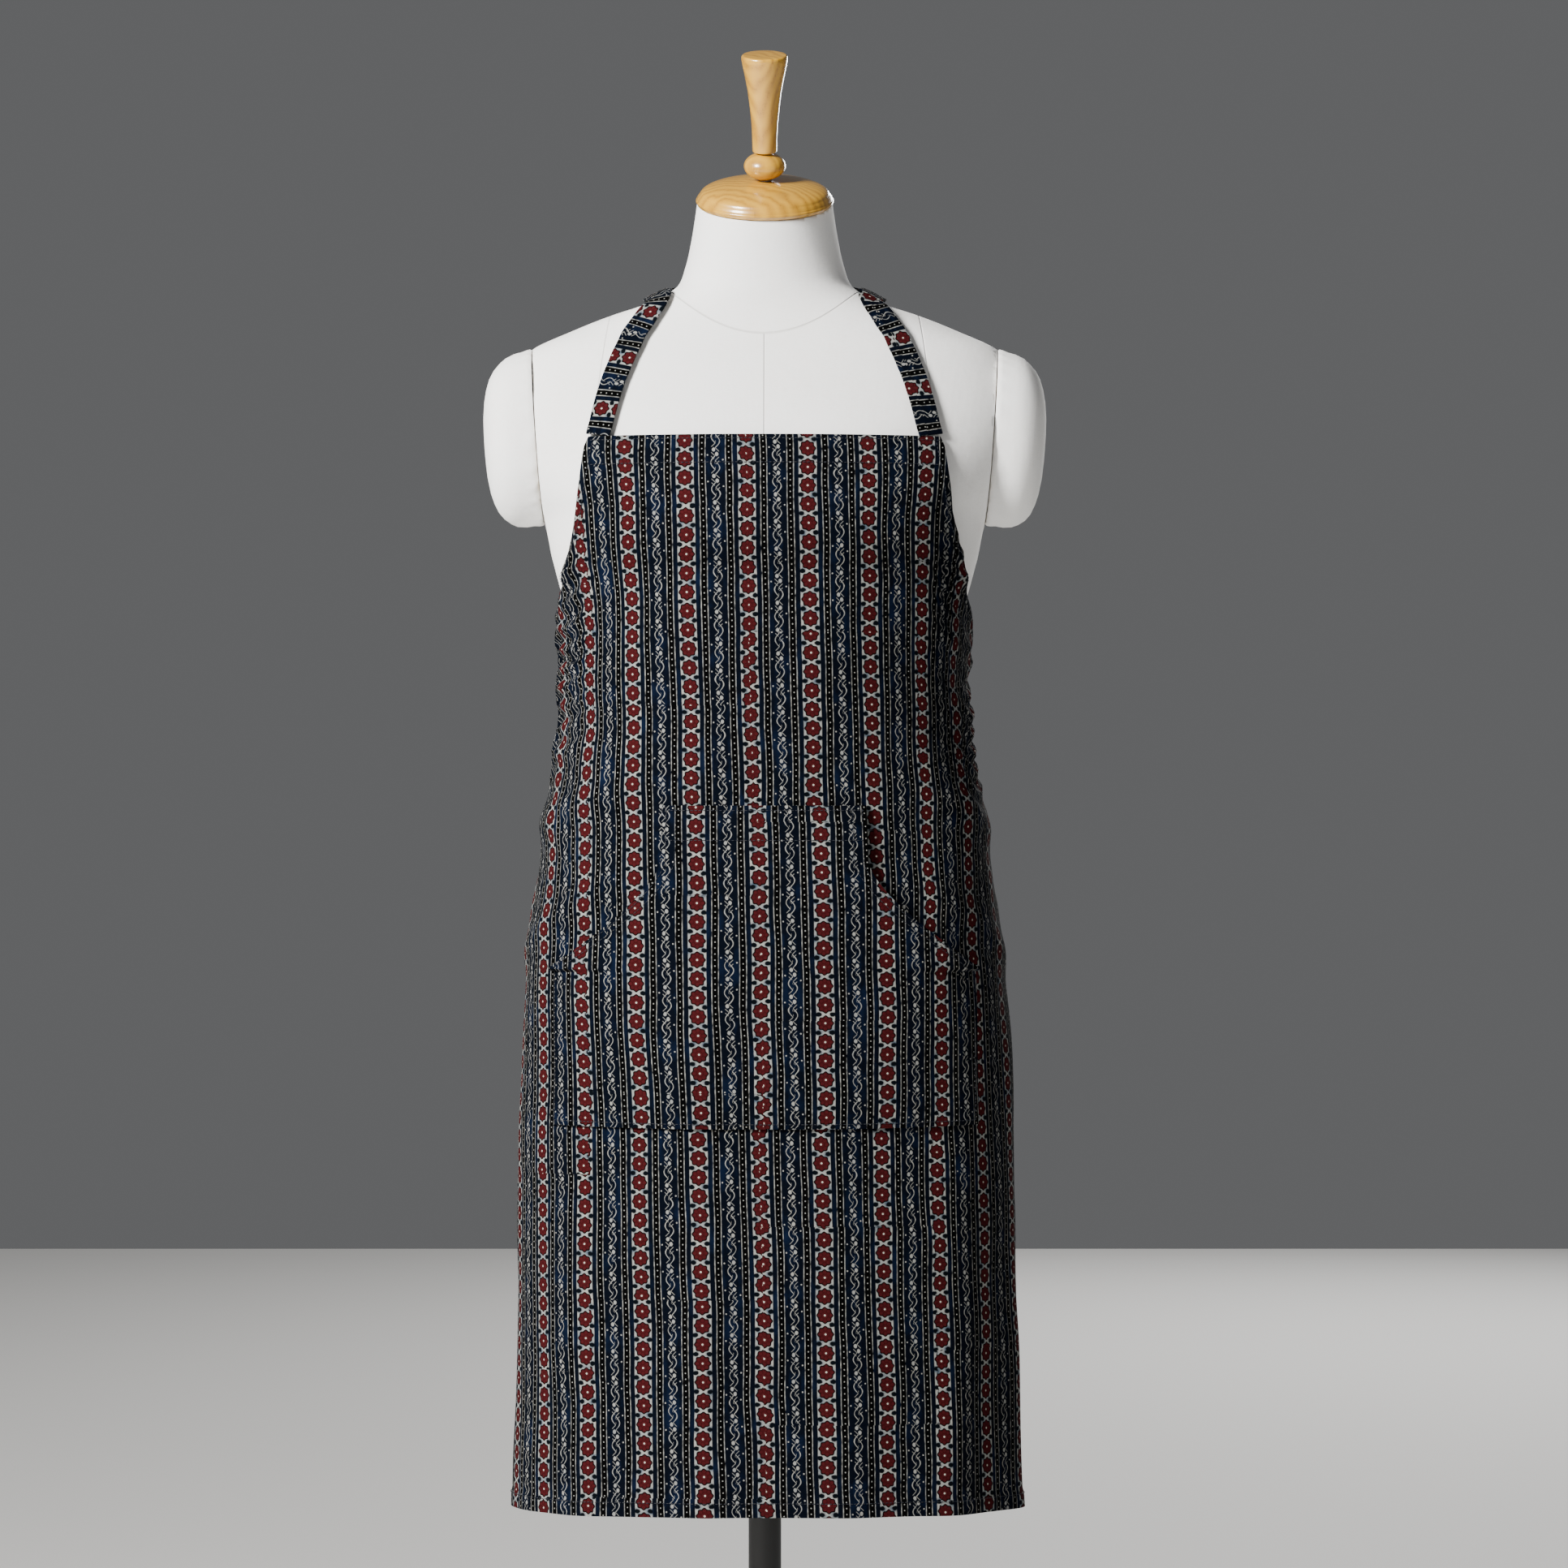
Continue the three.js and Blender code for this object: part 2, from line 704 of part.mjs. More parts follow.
function addPocket() {
  const heights = [pocketTop, pocketTop - pocketMouthDrop / 2];
  for (let i = 0; i <= 4; i += 1) {
    heights.push(mouthTop - (pocketMouthHeight * i) / 4);
  }
  const sewnTop = mouthBottom - 14;
  for (let i = 0; i <= 3; i += 1) {
    heights.push(sewnTop - ((sewnTop - pocketBottom) * i) / 3);
  }
  const rows = heights.length - 1;
  const sewn = clothThickness + fitGap;
  const geometry = sheetGeometry(14, rows, (u, v, side) => {
    const height = heights[Math.round(v * rows)];
    const across = 2 * u - 1;
    const share = (height - pocketBottom) / pocketHeight;
    const openSide = height >= mouthBottom ? 1 : 1 - across ** 4;
    const bulge = pocketBulge * Math.sin(Math.PI * share) ** 0.7 * openSide;
    const lift = sewn + bulge + side * clothThickness;
    return clothPoint(across * pocketHalfWidth(height), height, lift);
  });
  addMesh('pocket', geometry, materials.print);

  const tagTop = mouthBottom - labelDrop;
  const tag = sheetGeometry(1, 2, (u, v, side) => clothPoint(
    pocketWidth / 2 + fitGap + u * labelWidth,
    tagTop - v * labelHeight,
    sewn + side * 1.2,
  ));
  addMesh('label_tab', tag, materials.label);
}

// The neck strap's middle line as [angle from the front in degrees, drop], nape to bib corner.
const strapLine = [
  [180, -8], [160, -6], [138, -2], [118, 4], [100, 10], [84, 12.5], [68, 15], [54, 22], [46, 32],
  [41, 46], [38.5, 66], [38.5, 92], [39.5, bibDrop - fitGap],
];

function addNeckStrap() {
  const place = ([degrees, drop], lift) => (
    bodyPointOut(THREE.MathUtils.degToRad(degrees), neckBaseHeight - drop, lift)
  );
  const half = strapLine.map((at) => ({ low: place(at, strapLift), normal: place(at, strapLift + 1) }));
  half.forEach((station) => station.normal.sub(station.low));
  const mirrored = half.slice(1).reverse().map(({ low, normal }) => ({
    low: low.clone().setX(-low.x),
    normal: normal.clone().setX(-normal.x),
  }));
  const stations = [...mirrored, ...half];
  const last = stations.length - 1;
  const geometry = sheetGeometry(2, last, (u, v, side) => {
    const i = Math.round(v * last);
    const { low, normal } = stations[i];
    const ahead = stations[Math.min(i + 1, last)].low.clone();
    const along = ahead.sub(stations[Math.max(i - 1, 0)].low);
    if (i === 0 || i === last) {
      along.set(0, 0, i === 0 ? 1 : -1);
    }
    const across = normal.clone().cross(along).normalize();
    return low.clone().addScaledVector(across, (u - 0.5) * strapWidth)
      .addScaledVector(normal, side * clothThickness);
  });
  addMesh('neck_strap', geometry, materials.print);
}

const knotHeight = neckBaseHeight - tieTopDrop - tieWidth / 2;
const halfGirth = halfSection(knotHeight).reduce((sum, point, i, all) => (
  i ? sum + point.distanceTo(all[i - 1]) : 0
), 0);
const knotInner = clothSection(knotHeight).back;

function addTies() {
  for (const side of [-1, 1]) {
    const label = side < 0 ? 'left' : 'right';
    const start = apronWidth / 2 + 2 * fitGap;
    const end = halfGirth - bowKnotWidth / 2 - fitGap;
    const band = sheetGeometry(6, 1, (u, v, face) => clothPoint(
      side * (start + u * (end - start)),
      knotHeight + tieWidth / 2 - 4 * (1 - u) - v * tieWidth,
      face * clothThickness,
    ));
    addMesh(`waist_tie_${label}`, band, materials.print);
  }
}

function addBow() {
  const bevel = 2.5;
  const [halfWidth, halfHeight] = [bowKnotWidth / 2 - bevel, tieWidth / 2 - bevel];
  const outline = new THREE.Shape([
    new THREE.Vector2(-halfWidth, -halfHeight),
    new THREE.Vector2(halfWidth, -halfHeight),
    new THREE.Vector2(halfWidth, halfHeight),
    new THREE.Vector2(-halfWidth, halfHeight),
  ]);
  const knot = new THREE.ExtrudeGeometry(outline, {
    depth: bowKnotDepth - 2 * bevel,
    bevelThickness: bevel,
    bevelSize: bevel,
    bevelSegments: 1,
  });
  knot.rotateX(Math.PI / 2).translate(0, knotInner + bowKnotDepth - bevel, knotHeight);
  addMesh('bow_knot', toGeometry(toSolid(knot)), materials.print);
  for (const side of [-1, 1]) {
    const label = side < 0 ? 'left' : 'right';
    addMesh(`bow_loop_${label}`, bowLoop(side), materials.print);
    addMesh(`bow_tail_${label}`, bowTail(side), materials.print);
  }
}

// A teardrop band that starts and ends at the knot, lying on its side.
function bowLoop(side) {
  const outline = (inset) => {
    const points = [];
    for (let i = 0; i < 20; i += 1) {
      const angle = side * (i / 20) * 2 * Math.PI;
      const along = ((bowLoopLength - 2 * inset) / 2) * (1 - Math.cos(angle)) + inset;
      const taper = 0.25 + 0.75 * Math.abs(Math.sin(angle / 2)) ** 1.5;
      const aside = (bowLoopOpening / 2 - inset) * Math.sin(angle) * taper;
      points.push(new THREE.Vector2(side * along, aside));
    }
    return new THREE.Shape(points);
  };
  const slab = (inset, depth) => toSolid(
    new THREE.ExtrudeGeometry(outline(inset), { depth, bevelEnabled: false }).translate(0, 0, -depth / 2),
  );
  const band = toGeometry(slab(0, tieWidth).subtract(slab(clothThickness, 2 * tieWidth)));
  const place = new THREE.Matrix4().makeShear(0, -side * Math.tan(bowLoopDroop), 0, 0, 0, 0);
  place.setPosition(side * (bowKnotWidth / 2 + fitGap), knotInner + bowKnotDepth - 4, knotHeight);
  return band.applyMatrix4(place);
}

function bowTail(side) {
  const top = knotHeight - tieWidth / 2 - fitGap;
  return sheetGeometry(2, 9, (u, v, face) => {
    const height = top - v * bowTailLength;
    const back = clothSection(height).back;
    const drawnOut = Math.max(back, knotInner);
    const x = side * (2 + tieWidth / 2 + 16 * v) + (u - 0.5) * tieWidth;
    return new THREE.Vector3(x, drawnOut + 3 + face * clothThickness, height);
  });
}

// ---------------------------------------------------------------- stand
function screwGeometry(length) {
  return turned([
    [0, -length],
    [screwDiameter / 2, -length],
    [screwDiameter / 2, 0],
    [screwHeadDiameter / 2, 0],
    [screwHeadDiameter / 2, screwHeadHeight * 0.5],
    [screwHeadDiameter / 4, screwHeadHeight],
    [0, screwHeadHeight],
  ], smallSides);
}

function addPole() {
  addMesh('inner_pole', ring(poleDiameter / 2 - poleWall, poleDiameter / 2, poleBottom, poleTop),
    materials.blackSteel);
  const glideOuter = tubeDiameter / 2 - tubeWall - fitGap;
  const glideInner = poleDiameter / 2 + fitGap;
  addMesh('pole_glide', ring(glideInner, glideOuter, poleBottom, poleBottom + glideLength),
    materials.plastic);

  const sleeveInner = poleDiameter / 2 + fitGap;
  const sleeveOuter = sleeveInner + flangeSleeveWall;
  let flange = toSolid(turned([
    [0, flangeTop],
    [flangeDiameter / 2, flangeTop],
    [flangeDiameter / 2, flangeTop - flangeThickness],
    [sleeveOuter, flangeTop - flangeThickness],
    [sleeveOuter, flangeTop - flangeSleeveLength],
    [sleeveInner, flangeTop - flangeSleeveLength],
    [sleeveInner, flangeTop - flangeThickness],
    [0, flangeTop - flangeThickness],
  ]));
  flangeScrewAngles.forEach((angle, i) => {
    const [x, y] = onCircle(flangeScrewCircle, angle);
    const hole = rod(screwDiameter / 2 + fitGap, flangeTop - 2 * flangeThickness, flangeTop + 1, smallSides);
    flange = flange.subtract(toSolid(hole.translate(x, y, 0)));
    const screw = screwGeometry(flangeScrewLength).rotateX(Math.PI);
    const mesh = addMesh(`flange_screw_${i + 1}`, screw, materials.steel);
    mesh.position.set(x, y, flangeTop - flangeThickness - fitGap);
  });
  addMesh('pole_flange', toGeometry(flange), materials.blackSteel);
}

// The clamp's screw runs along +X through collar, tube and bush to the pole.
function clampBoreSolid() {
  const bore = rod(clampBore / 2 + fitGap, 0, 2 * clampBossReach);
  return toSolid(bore.rotateY(Math.PI / 2).translate(0, 0, clampHeight));
}

function addTube() {
  const inner = tubeDiameter / 2 - tubeWall;
  const bottom = socketBottom + socketFlangeThickness;
  const tube = toSolid(ring(inner, tubeDiameter / 2, bottom, tubeTop)).subtract(clampBoreSolid());
  addMesh('lower_tube', toGeometry(tube), materials.blackSteel);
  const bushInner = poleDiameter / 2 + fitGap;
  const bushOuter = inner - fitGap;
  const bush = toSolid(turned([
    [bushInner, tubeTop - bushLength],
    [bushOuter, tubeTop - bushLength],
    [bushOuter, tubeTop + fitGap],
    [tubeDiameter / 2, tubeTop + fitGap],
    [tubeDiameter / 2, tubeTop + 3],
    [bushInner, tubeTop + 3],
    [bushInner, tubeTop - bushLength],
  ])).subtract(clampBoreSolid());
  addMesh('tube_bush', toGeometry(bush), materials.plastic);
}

function addClamp() {
  const inner = tubeDiameter / 2 + fitGap;
  const boss = rod(clampBossDiameter / 2, inner + 1, clampBossReach).rotateY(Math.PI / 2);
  const band = ring(inner, collarDiameter / 2, collarTop - collarHeight, collarTop);
  const bore = rod(inner, collarTop - collarHeight - 1, collarTop + 1);
  const collar = toSolid(band).add(toSolid(boss.translate(0, 0, clampHeight)))
    .subtract(toSolid(bore)).subtract(clampBoreSolid());
  addMesh('clamp_collar', toGeometry(collar), materials.blackSteel);

  const padInner = poleDiameter / 2 + fitGap;
  const padOuter = padInner + padLength;
  const pad = addMesh('pressure_pad', rod(clampBore / 2, padInner, padOuter, smallSides), materials.plastic);
  pad.rotation.y = Math.PI / 2;
  pad.position.z = clampHeight;

  const lobes = 5;
  const outline = [];
  for (let i = 0; i < 40; i += 1) {
    const angle = (i / 40) * 2 * Math.PI;
    const radius = (knobDiameter / 2) * (0.89 + 0.11 * Math.cos(lobes * angle));
    outline.push(new THREE.Vector2(radius * Math.cos(angle), radius * Math.sin(angle)));
  }
  const grip = new THREE.ExtrudeGeometry(new THREE.Shape(outline), {
    depth: knobThickness,
    bevelEnabled: false,
  }).translate(0, 0, knobReach);
  const shank = rod(clampBore / 2, padOuter + fitGap, knobReach + 1);
  const knob = addMesh('clamp_knob', toGeometry(toSolid(grip).add(toSolid(shank))), materials.plastic);
  knob.rotation.y = Math.PI / 2;
  knob.position.z = clampHeight;
}

const socketScrewAngles = [90, 210, 330].map(THREE.MathUtils.degToRad);

function addBase() {
  const bore = tubeDiameter / 2 + fitGap;
  const flangeFace = socketBottom + socketFlangeThickness;
  let plate = toSolid(turned([
    [0, basePlateBottom],
    [baseDiameter / 2, basePlateBottom],
    [baseDiameter / 2, basePlateTop - 3],
    [baseDiameter / 2 - 3, basePlateTop],
    [0, basePlateTop],
  ], 32));
  let socket = toSolid(turned([
    [0, socketBottom],
    [socketFlangeDiameter / 2, socketBottom],
    [socketFlangeDiameter / 2, flangeFace],
    [socketDiameter / 2, flangeFace],
    [socketDiameter / 2 - 8, socketBottom + socketHeight],
    [bore, socketBottom + socketHeight],
    [bore, flangeFace - fitGap],
    [0, flangeFace - fitGap],
  ], 20));
  socketScrewAngles.forEach((angle, i) => {
    const [x, y] = onCircle(socketScrewCircle, angle);
    const hole = rod(screwDiameter / 2 + fitGap, basePlateBottom - 1, flangeFace + 1, smallSides)
      .translate(x, y, 0);
    plate = plate.subtract(toSolid(hole));
    socket = socket.subtract(toSolid(hole));
    const screw = addMesh(`socket_screw_${i + 1}`, screwGeometry(socketScrewLength), materials.steel);
    screw.position.set(x, y, flangeFace + fitGap);
  });
  addMesh('base_plate', toGeometry(plate), materials.blackSteel);
  addMesh('base_socket', toGeometry(socket), materials.blackSteel);
  for (let i = 0; i < 4; i += 1) {
    const [x, y] = onCircle(footCircle, Math.PI / 4 + (i * Math.PI) / 2);
    const foot = addMesh(`foot_pad_${i + 1}`, rod(footDiameter / 2, 0, footHeight), materials.plastic);
    foot.position.set(x, y, 0);
  }
}

addTorso();
addBottomBoard();
addNeck();
addArm(-1);
addArm(1);
addApronBody();
addPocket();
addNeckStrap();
addTies();
addBow();
addPole();
addTube();
addClamp();
addBase();

export default object;
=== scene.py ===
# Block-printed bib apron on a tailor's dress form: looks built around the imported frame.
import bpy
import bmesh
import math
import numpy as np
from mathutils import Vector, Matrix, noise


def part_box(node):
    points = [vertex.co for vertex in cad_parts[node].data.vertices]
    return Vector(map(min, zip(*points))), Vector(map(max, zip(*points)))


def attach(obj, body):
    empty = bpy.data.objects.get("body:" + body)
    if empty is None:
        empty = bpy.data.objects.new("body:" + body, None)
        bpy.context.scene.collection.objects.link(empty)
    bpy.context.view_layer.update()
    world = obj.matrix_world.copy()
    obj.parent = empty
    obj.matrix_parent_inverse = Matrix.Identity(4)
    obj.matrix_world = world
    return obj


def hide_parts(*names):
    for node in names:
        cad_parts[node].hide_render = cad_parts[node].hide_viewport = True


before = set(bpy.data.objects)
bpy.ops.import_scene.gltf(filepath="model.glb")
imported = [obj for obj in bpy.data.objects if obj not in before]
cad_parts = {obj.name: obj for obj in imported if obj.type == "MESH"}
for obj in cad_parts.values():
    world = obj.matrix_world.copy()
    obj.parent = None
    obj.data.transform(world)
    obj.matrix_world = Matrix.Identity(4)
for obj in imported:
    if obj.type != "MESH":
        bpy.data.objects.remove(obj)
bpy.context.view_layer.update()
mm = 0.001
print("frame loaded")


# Camera, floor and light.
view = {
    "distance": 3.2,        # metres in front of the pole's axis
    "height": 1.021,
    "aside": 0.0146,
    "frameWidth": 1.198,    # width seen at the pole's axis
    "sensor": 36.0,
}


def makeCamera():
    data = bpy.data.cameras.new("camera")
    data.sensor_width = view["sensor"]
    data.lens = view["sensor"] * view["distance"] / view["frameWidth"]
    camera = bpy.data.objects.new("camera", data)
    camera.location = (view["aside"], -view["distance"], view["height"])
    camera.rotation_euler = (math.radians(90), 0, 0)
    bpy.context.scene.collection.objects.link(camera)
    bpy.context.scene.camera = camera


def makeLight(name, place, target, size, power, tint=(1, 1, 1)):
    data = bpy.data.lights.new(name, "AREA")
    data.shape = "DISK"
    data.size = size
    data.energy = power
    data.color = tint
    light = bpy.data.objects.new(name, data)
    light.location = place
    aim = Vector(target) - Vector(place)
    light.rotation_euler = aim.to_track_quat("-Z", "Y").to_euler()
    bpy.context.scene.collection.objects.link(light)


def makeStudio():
    makeCamera()
    makeLight("keyLight", (-2.2, -2.3, 2.7), (0, 0, 1.2), 1.1, 400, (1.0, 0.99, 0.97))
    makeLight("fillLight", (2.4, -2.2, 1.2), (0, 0, 1.0), 1.8, 4)
    makeLight("backLight", (1.8, 5.5, 2.6), (0, 0, 1.0), 1.8, 150)
    world = bpy.data.worlds.new("studio")
    world.use_nodes = True
    world.node_tree.nodes["Background"].inputs["Color"].default_value = (0.83, 0.84, 0.86, 1)
    world.node_tree.nodes["Background"].inputs["Strength"].default_value = 0.15
    bpy.context.scene.world = world
    floor = meshObject("floor", [(-6, -6, 0), (6, -6, 0), (6, 6, 0), (-6, 6, 0)], [(0, 1, 2, 3)])
    paper = bpy.data.materials.new("paleFloor")
    paper.use_nodes = True
    shader = paper.node_tree.nodes["Principled BSDF"]
    shader.inputs["Base Color"].default_value = (0.72, 0.71, 0.69, 1)
    shader.inputs["Roughness"].default_value = 0.85
    floor.data.materials.append(paper)


# Mesh helpers.
def meshObject(name, points, faces, uvs=None, smooth=True, uvName="cloth"):
    mesh = bpy.data.meshes.new(name)
    mesh.from_pydata([tuple(p) for p in points], [], faces)
    if uvs is not None:
        layer = mesh.uv_layers.new(name=uvName)
        corners = np.zeros(len(mesh.loops), dtype=np.int64)
        mesh.loops.foreach_get("vertex_index", corners)
        layer.data.foreach_set("uv", np.asarray(uvs, dtype=np.float32)[corners].ravel())
    mesh.polygons.foreach_set("use_smooth", [smooth] * len(mesh.polygons))
    mesh.update()
    made = bpy.data.objects.new(name, mesh)
    bpy.context.scene.collection.objects.link(made)
    return made


def faceOut(made):
    work = bmesh.new()
    work.from_mesh(made.data)
    bmesh.ops.remove_doubles(work, verts=work.verts, dist=1e-6)
    bmesh.ops.recalc_face_normals(work, faces=work.faces)
    work.to_mesh(made.data)
    work.free()


# Quads between rings of equally many points.
def ringFaces(rows, count):
    faces = []
    for r in range(rows - 1):
        for i in range(count):
            a, b = r * count + i, r * count + (i + 1) % count
            faces.append((a, b, b + count, a + count))
    return faces


# Closed tube of rings; each ring is an array of the same number of points.
def loftObject(name, rings):
    count = len(rings[0])
    points = [p for ringPoints in rings for p in ringPoints]
    faces = ringFaces(len(rings), count)
    faces.append(tuple(range(count - 1, -1, -1)))
    faces.append(tuple((len(rings) - 1) * count + i for i in range(count)))
    made = meshObject(name, points, faces)
    faceOut(made)
    return made


# A turned piece about the local Z axis, from (radius, height) pairs in millimetres.
def turnedObject(name, profile, place=Matrix.Identity(4), sides=96, creaseAngle=32):
    points, faces = [], []
    rows = []
    for radius, height in profile:
        if radius < 1e-6:
            rows.append([len(points)] * sides)
            points.append(place @ Vector((0, 0, height * mm)))
            continue
        rows.append(list(range(len(points), len(points) + sides)))
        for i in range(sides):
            turn = 2 * math.pi * i / sides
            spot = Vector((radius * math.cos(turn), radius * math.sin(turn), height)) * mm
            points.append(place @ spot)
    for lower, upper in zip(rows, rows[1:]):
        for i in range(sides):
            j = (i + 1) % sides
            corners = list(dict.fromkeys((lower[i], lower[j], upper[j], upper[i])))
            if len(corners) > 2:
                faces.append(tuple(corners))
    made = meshObject(name, points, faces)
    faceOut(made)
    made.data.set_sharp_from_angle(angle=math.radians(creaseAngle))
    return made


def arc(centreR, centreZ, radiusR, radiusZ, fromDegrees, toDegrees, steps):
    profile = []
    for i in range(steps + 1):
        turn = math.radians(fromDegrees + (toDegrees - fromDegrees) * i / steps)
        profile.append((centreR + radiusR * math.cos(turn), centreZ + radiusZ * math.sin(turn)))
    return profile


# A sheet with a thickness from a grid of points; uvs are the flat cloth's own metres.
def thickSheet(name, grid, normals, thickness, uvs):
    rows, columns = grid.shape[:2]
    thickness = np.broadcast_to(np.asarray(thickness, dtype=float), (rows, columns))
    outer = grid + normals * thickness[..., None] * 0.5
    inner = grid - normals * thickness[..., None] * 0.5
    points = np.concatenate([outer.reshape(-1, 3), inner.reshape(-1, 3)])
    allUvs = np.concatenate([uvs.reshape(-1, 2), uvs.reshape(-1, 2)])
    number = np.arange(rows * columns).reshape(rows, columns)
    back = rows * columns
    a, b = number[:-1, :-1].ravel(), number[:-1, 1:].ravel()
    c, d = number[1:, 1:].ravel(), number[1:, :-1].ravel()
    faces = np.concatenate([
        np.stack([a, b, c, d], 1),
        np.stack([d, c, b, a], 1) + back,
    ]).tolist()
    edge = np.concatenate([number[0, :], number[1:, -1], number[-1, -2::-1], number[-2:0:-1, 0]])
    following = np.roll(edge, -1)
    faces += np.stack([following, edge, edge + back, following + back], 1).tolist()
    made = meshObject(name, points, faces, allUvs)
    if signedVolume(made.data) < 0:
        made.data.flip_normals()
    made.data.set_sharp_from_angle(angle=math.radians(55))
    return made


def signedVolume(mesh):
    work = bmesh.new()
    work.from_mesh(mesh)
    volume = work.calc_volume(signed=True)
    work.free()
    return volume


def gridNormals(grid):
    along = np.gradient(grid, axis=0)
    across = np.gradient(grid, axis=1)
    normals = np.cross(along, across)
    return normals / np.maximum(np.linalg.norm(normals, axis=2, keepdims=True), 1e-12)


# Turned as a whole, so that the middle of the sheet faces the given way.
def facing(normals, towards):
    middle = normals[normals.shape[0] // 2, normals.shape[1] // 2]
    return normals if middle @ np.array(towards) > 0 else -normals


def unit(vectors):
    return vectors / np.linalg.norm(vectors, axis=-1, keepdims=True)


# Replaces an object's mesh by what its one modifier makes of it.
def applyModifier(made, modifier):
    graph = bpy.context.evaluated_depsgraph_get()
    plain = bpy.data.meshes.new_from_object(made.evaluated_get(graph), depsgraph=graph)
    made.modifiers.remove(modifier)
    made.data = plain


def smoothStep(low, high, value):
    t = np.clip((value - low) / (high - low), 0, 1)
    return t * t * (3 - 2 * t)


# The body's form, as in the frame.
body = {
    "neckBase": 1.400,
    "bustRise": 0.014,
    "bustSpacing": 0.156,
    "bustDrop": 0.192,
    "bustSpread": 0.038,
    "roundness": 2.15,
    "bottom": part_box("bottom_board")[0].z,
}

# drop below the neck base, half width, reach to the front, reach to the back (millimetres)
bodySections = np.array([
    [-110, 47, 80, 25], [-62, 52, 70, 30], [-33, 56.5, 64, 35], [-14, 61, 60, 46],
    [0, 67, 58, 58], [8, 79, 57.5, 65], [14, 92, 57, 70], [23, 120, 57, 76],
    [35, 150, 60, 82], [48, 178, 66, 87], [65, 191, 76, 91], [90, 200, 89, 95],
    [114, 200, 100, 96], [140, 192, 108, 95], [160, 181, 112, 92], [178, 169, 113, 90],
    [208, 162, 110, 86], [250, 150, 98, 78], [300, 131, 88, 70], [340, 122, 83, 66],
    [380, 130, 86, 72], [430, 154, 92, 94], [480, 168, 97, 112], [530, 173, 98, 118],
    [590, 171, 96, 114], [720, 160, 90, 104],
]) * mm

# how the cloth hangs clear of the body, in the same four columns
hangSections = np.array([
    [100, 100, 80, 60], [180, 150, 116, 70], [240, 155, 122, 80], [290, 151, 119, 80],
    [340, 153, 115, 84], [380, 160, 113, 92], [430, 168, 113, 102], [480, 175, 114, 114],
    [530, 180, 115, 122], [590, 184, 116, 124], [760, 186, 116, 122], [960, 190, 117, 120],
]) * mm


def betweenRows(rows, position):
    last = len(rows) - 1
    lower = int(np.clip(np.searchsorted(rows[:, 0], position, side="right") - 1, 0, last - 1))
    start, end = rows[lower], rows[lower + 1]
    before, after = rows[max(lower - 1, 0)], rows[min(lower + 2, last)]
    span = end[0] - start[0]
    t = min(max((position - start[0]) / span, 0), 1)
    leave = (end - before) / (end[0] - before[0]) * span
    arrive = (after - start) / (after[0] - start[0]) * span
    mixed = ((2 * t**3 - 3 * t**2 + 1) * start + (t**3 - 2 * t**2 + t) * leave
             + (3 * t**2 - 2 * t**3) * end + (t**3 - t**2) * arrive)
    return mixed[1:]


def bustAt(x, height):
    across = (np.abs(x) - body["bustSpacing"] / 2) / body["bustSpread"]
    along = (body["neckBase"] - height - body["bustDrop"]) / body["bustSpread"]
    return body["bustRise"] * np.exp(-(across**2 + along**2) / 2)


# Points of one horizontal section; turns run from the centre front.
def sectionPoints(section, turns, height):
    halfWidth, front, back = section
    power = 2 / body["roundness"]
    s, c = np.sin(turns), np.cos(turns)
    x = halfWidth * np.sign(s) * np.abs(s) ** power
    y = -np.where(c > 0, front, back) * np.sign(c) * np.abs(c) ** power
    return np.stack([x, y, np.full_like(x, height)], -1)


def bodyPoints(turns, height):
    turns = np.atleast_1d(np.asarray(turns, dtype=float))
    points = sectionPoints(betweenRows(bodySections, body["neckBase"] - height), turns, height)
    y = points[:, 1]
    points[:, 1] = np.where(y < 0, y - bustAt(points[:, 0], height) * np.minimum(1, -y / 0.04), y)
    return points


def bodyPointsOut(turns, height, distance):
    step, rise = 0.02, 0.0015
    turns = np.atleast_1d(np.asarray(turns, dtype=float))
    across = bodyPoints(turns + step, height) - bodyPoints(turns - step, height)
    along = bodyPoints(turns, height + rise) - bodyPoints(turns, height - rise)
    normal = np.cross(across, along)
    normal /= np.linalg.norm(normal, axis=1, keepdims=True)
    return bodyPoints(turns, height) + normal * distance


# The hanging cloth's surface as a table: one row per height, one column per distance
# along the cloth from the centre front, holding x, y and the level normal.
clothTable = {
    "clearance": 0.0012,
    "low": 0.430,
    "high": 1.300,
    "heightStep": 0.002,
    "distanceStep": 0.002,
    "slopeReach": 0.004,
    "reach": 0.520,
}


def clothSection(height):
    drop = body["neckBase"] - height
    under = betweenRows(bodySections, drop)
    hang = betweenRows(hangSections, drop)
    gap = clothTable["clearance"]
    overBust = 1.25 * bustAt(body["bustSpacing"] / 2, height)
    return (max(under[0] + gap, hang[0]), max(under[1] + overBust + gap, hang[1]),
            max(under[2] + gap, hang[2]))


def clothLine(height):
    points = sectionPoints(clothSection(height), np.linspace(0, math.pi, 241), height)[:, :2]
    steps = np.linalg.norm(np.diff(points, axis=0), axis=1)
    return points, np.concatenate([[0], np.cumsum(steps)])


def makeClothTable():
    t = clothTable
    heights = np.arange(t["low"], t["high"], t["heightStep"])
    distances = np.arange(0, t["reach"], t["distanceStep"])
    table = np.zeros((len(heights), len(distances), 4))
    for r, height in enumerate(heights):
        points, along = clothLine(height)
        for i in range(2):
            table[r, :, i] = np.interp(distances, along, points[:, i])
        dx, dy = (np.interp(distances + t["slopeReach"], along, points[:, i])
                  - np.interp(distances - t["slopeReach"], along, points[:, i]) for i in range(2))
        dy[0] = 0.0
        length = np.maximum(np.hypot(dx, dy), 1e-9)
        table[r, :, 2], table[r, :, 3] = dy / length, -dx / length
    return table


clothRows = makeClothTable()


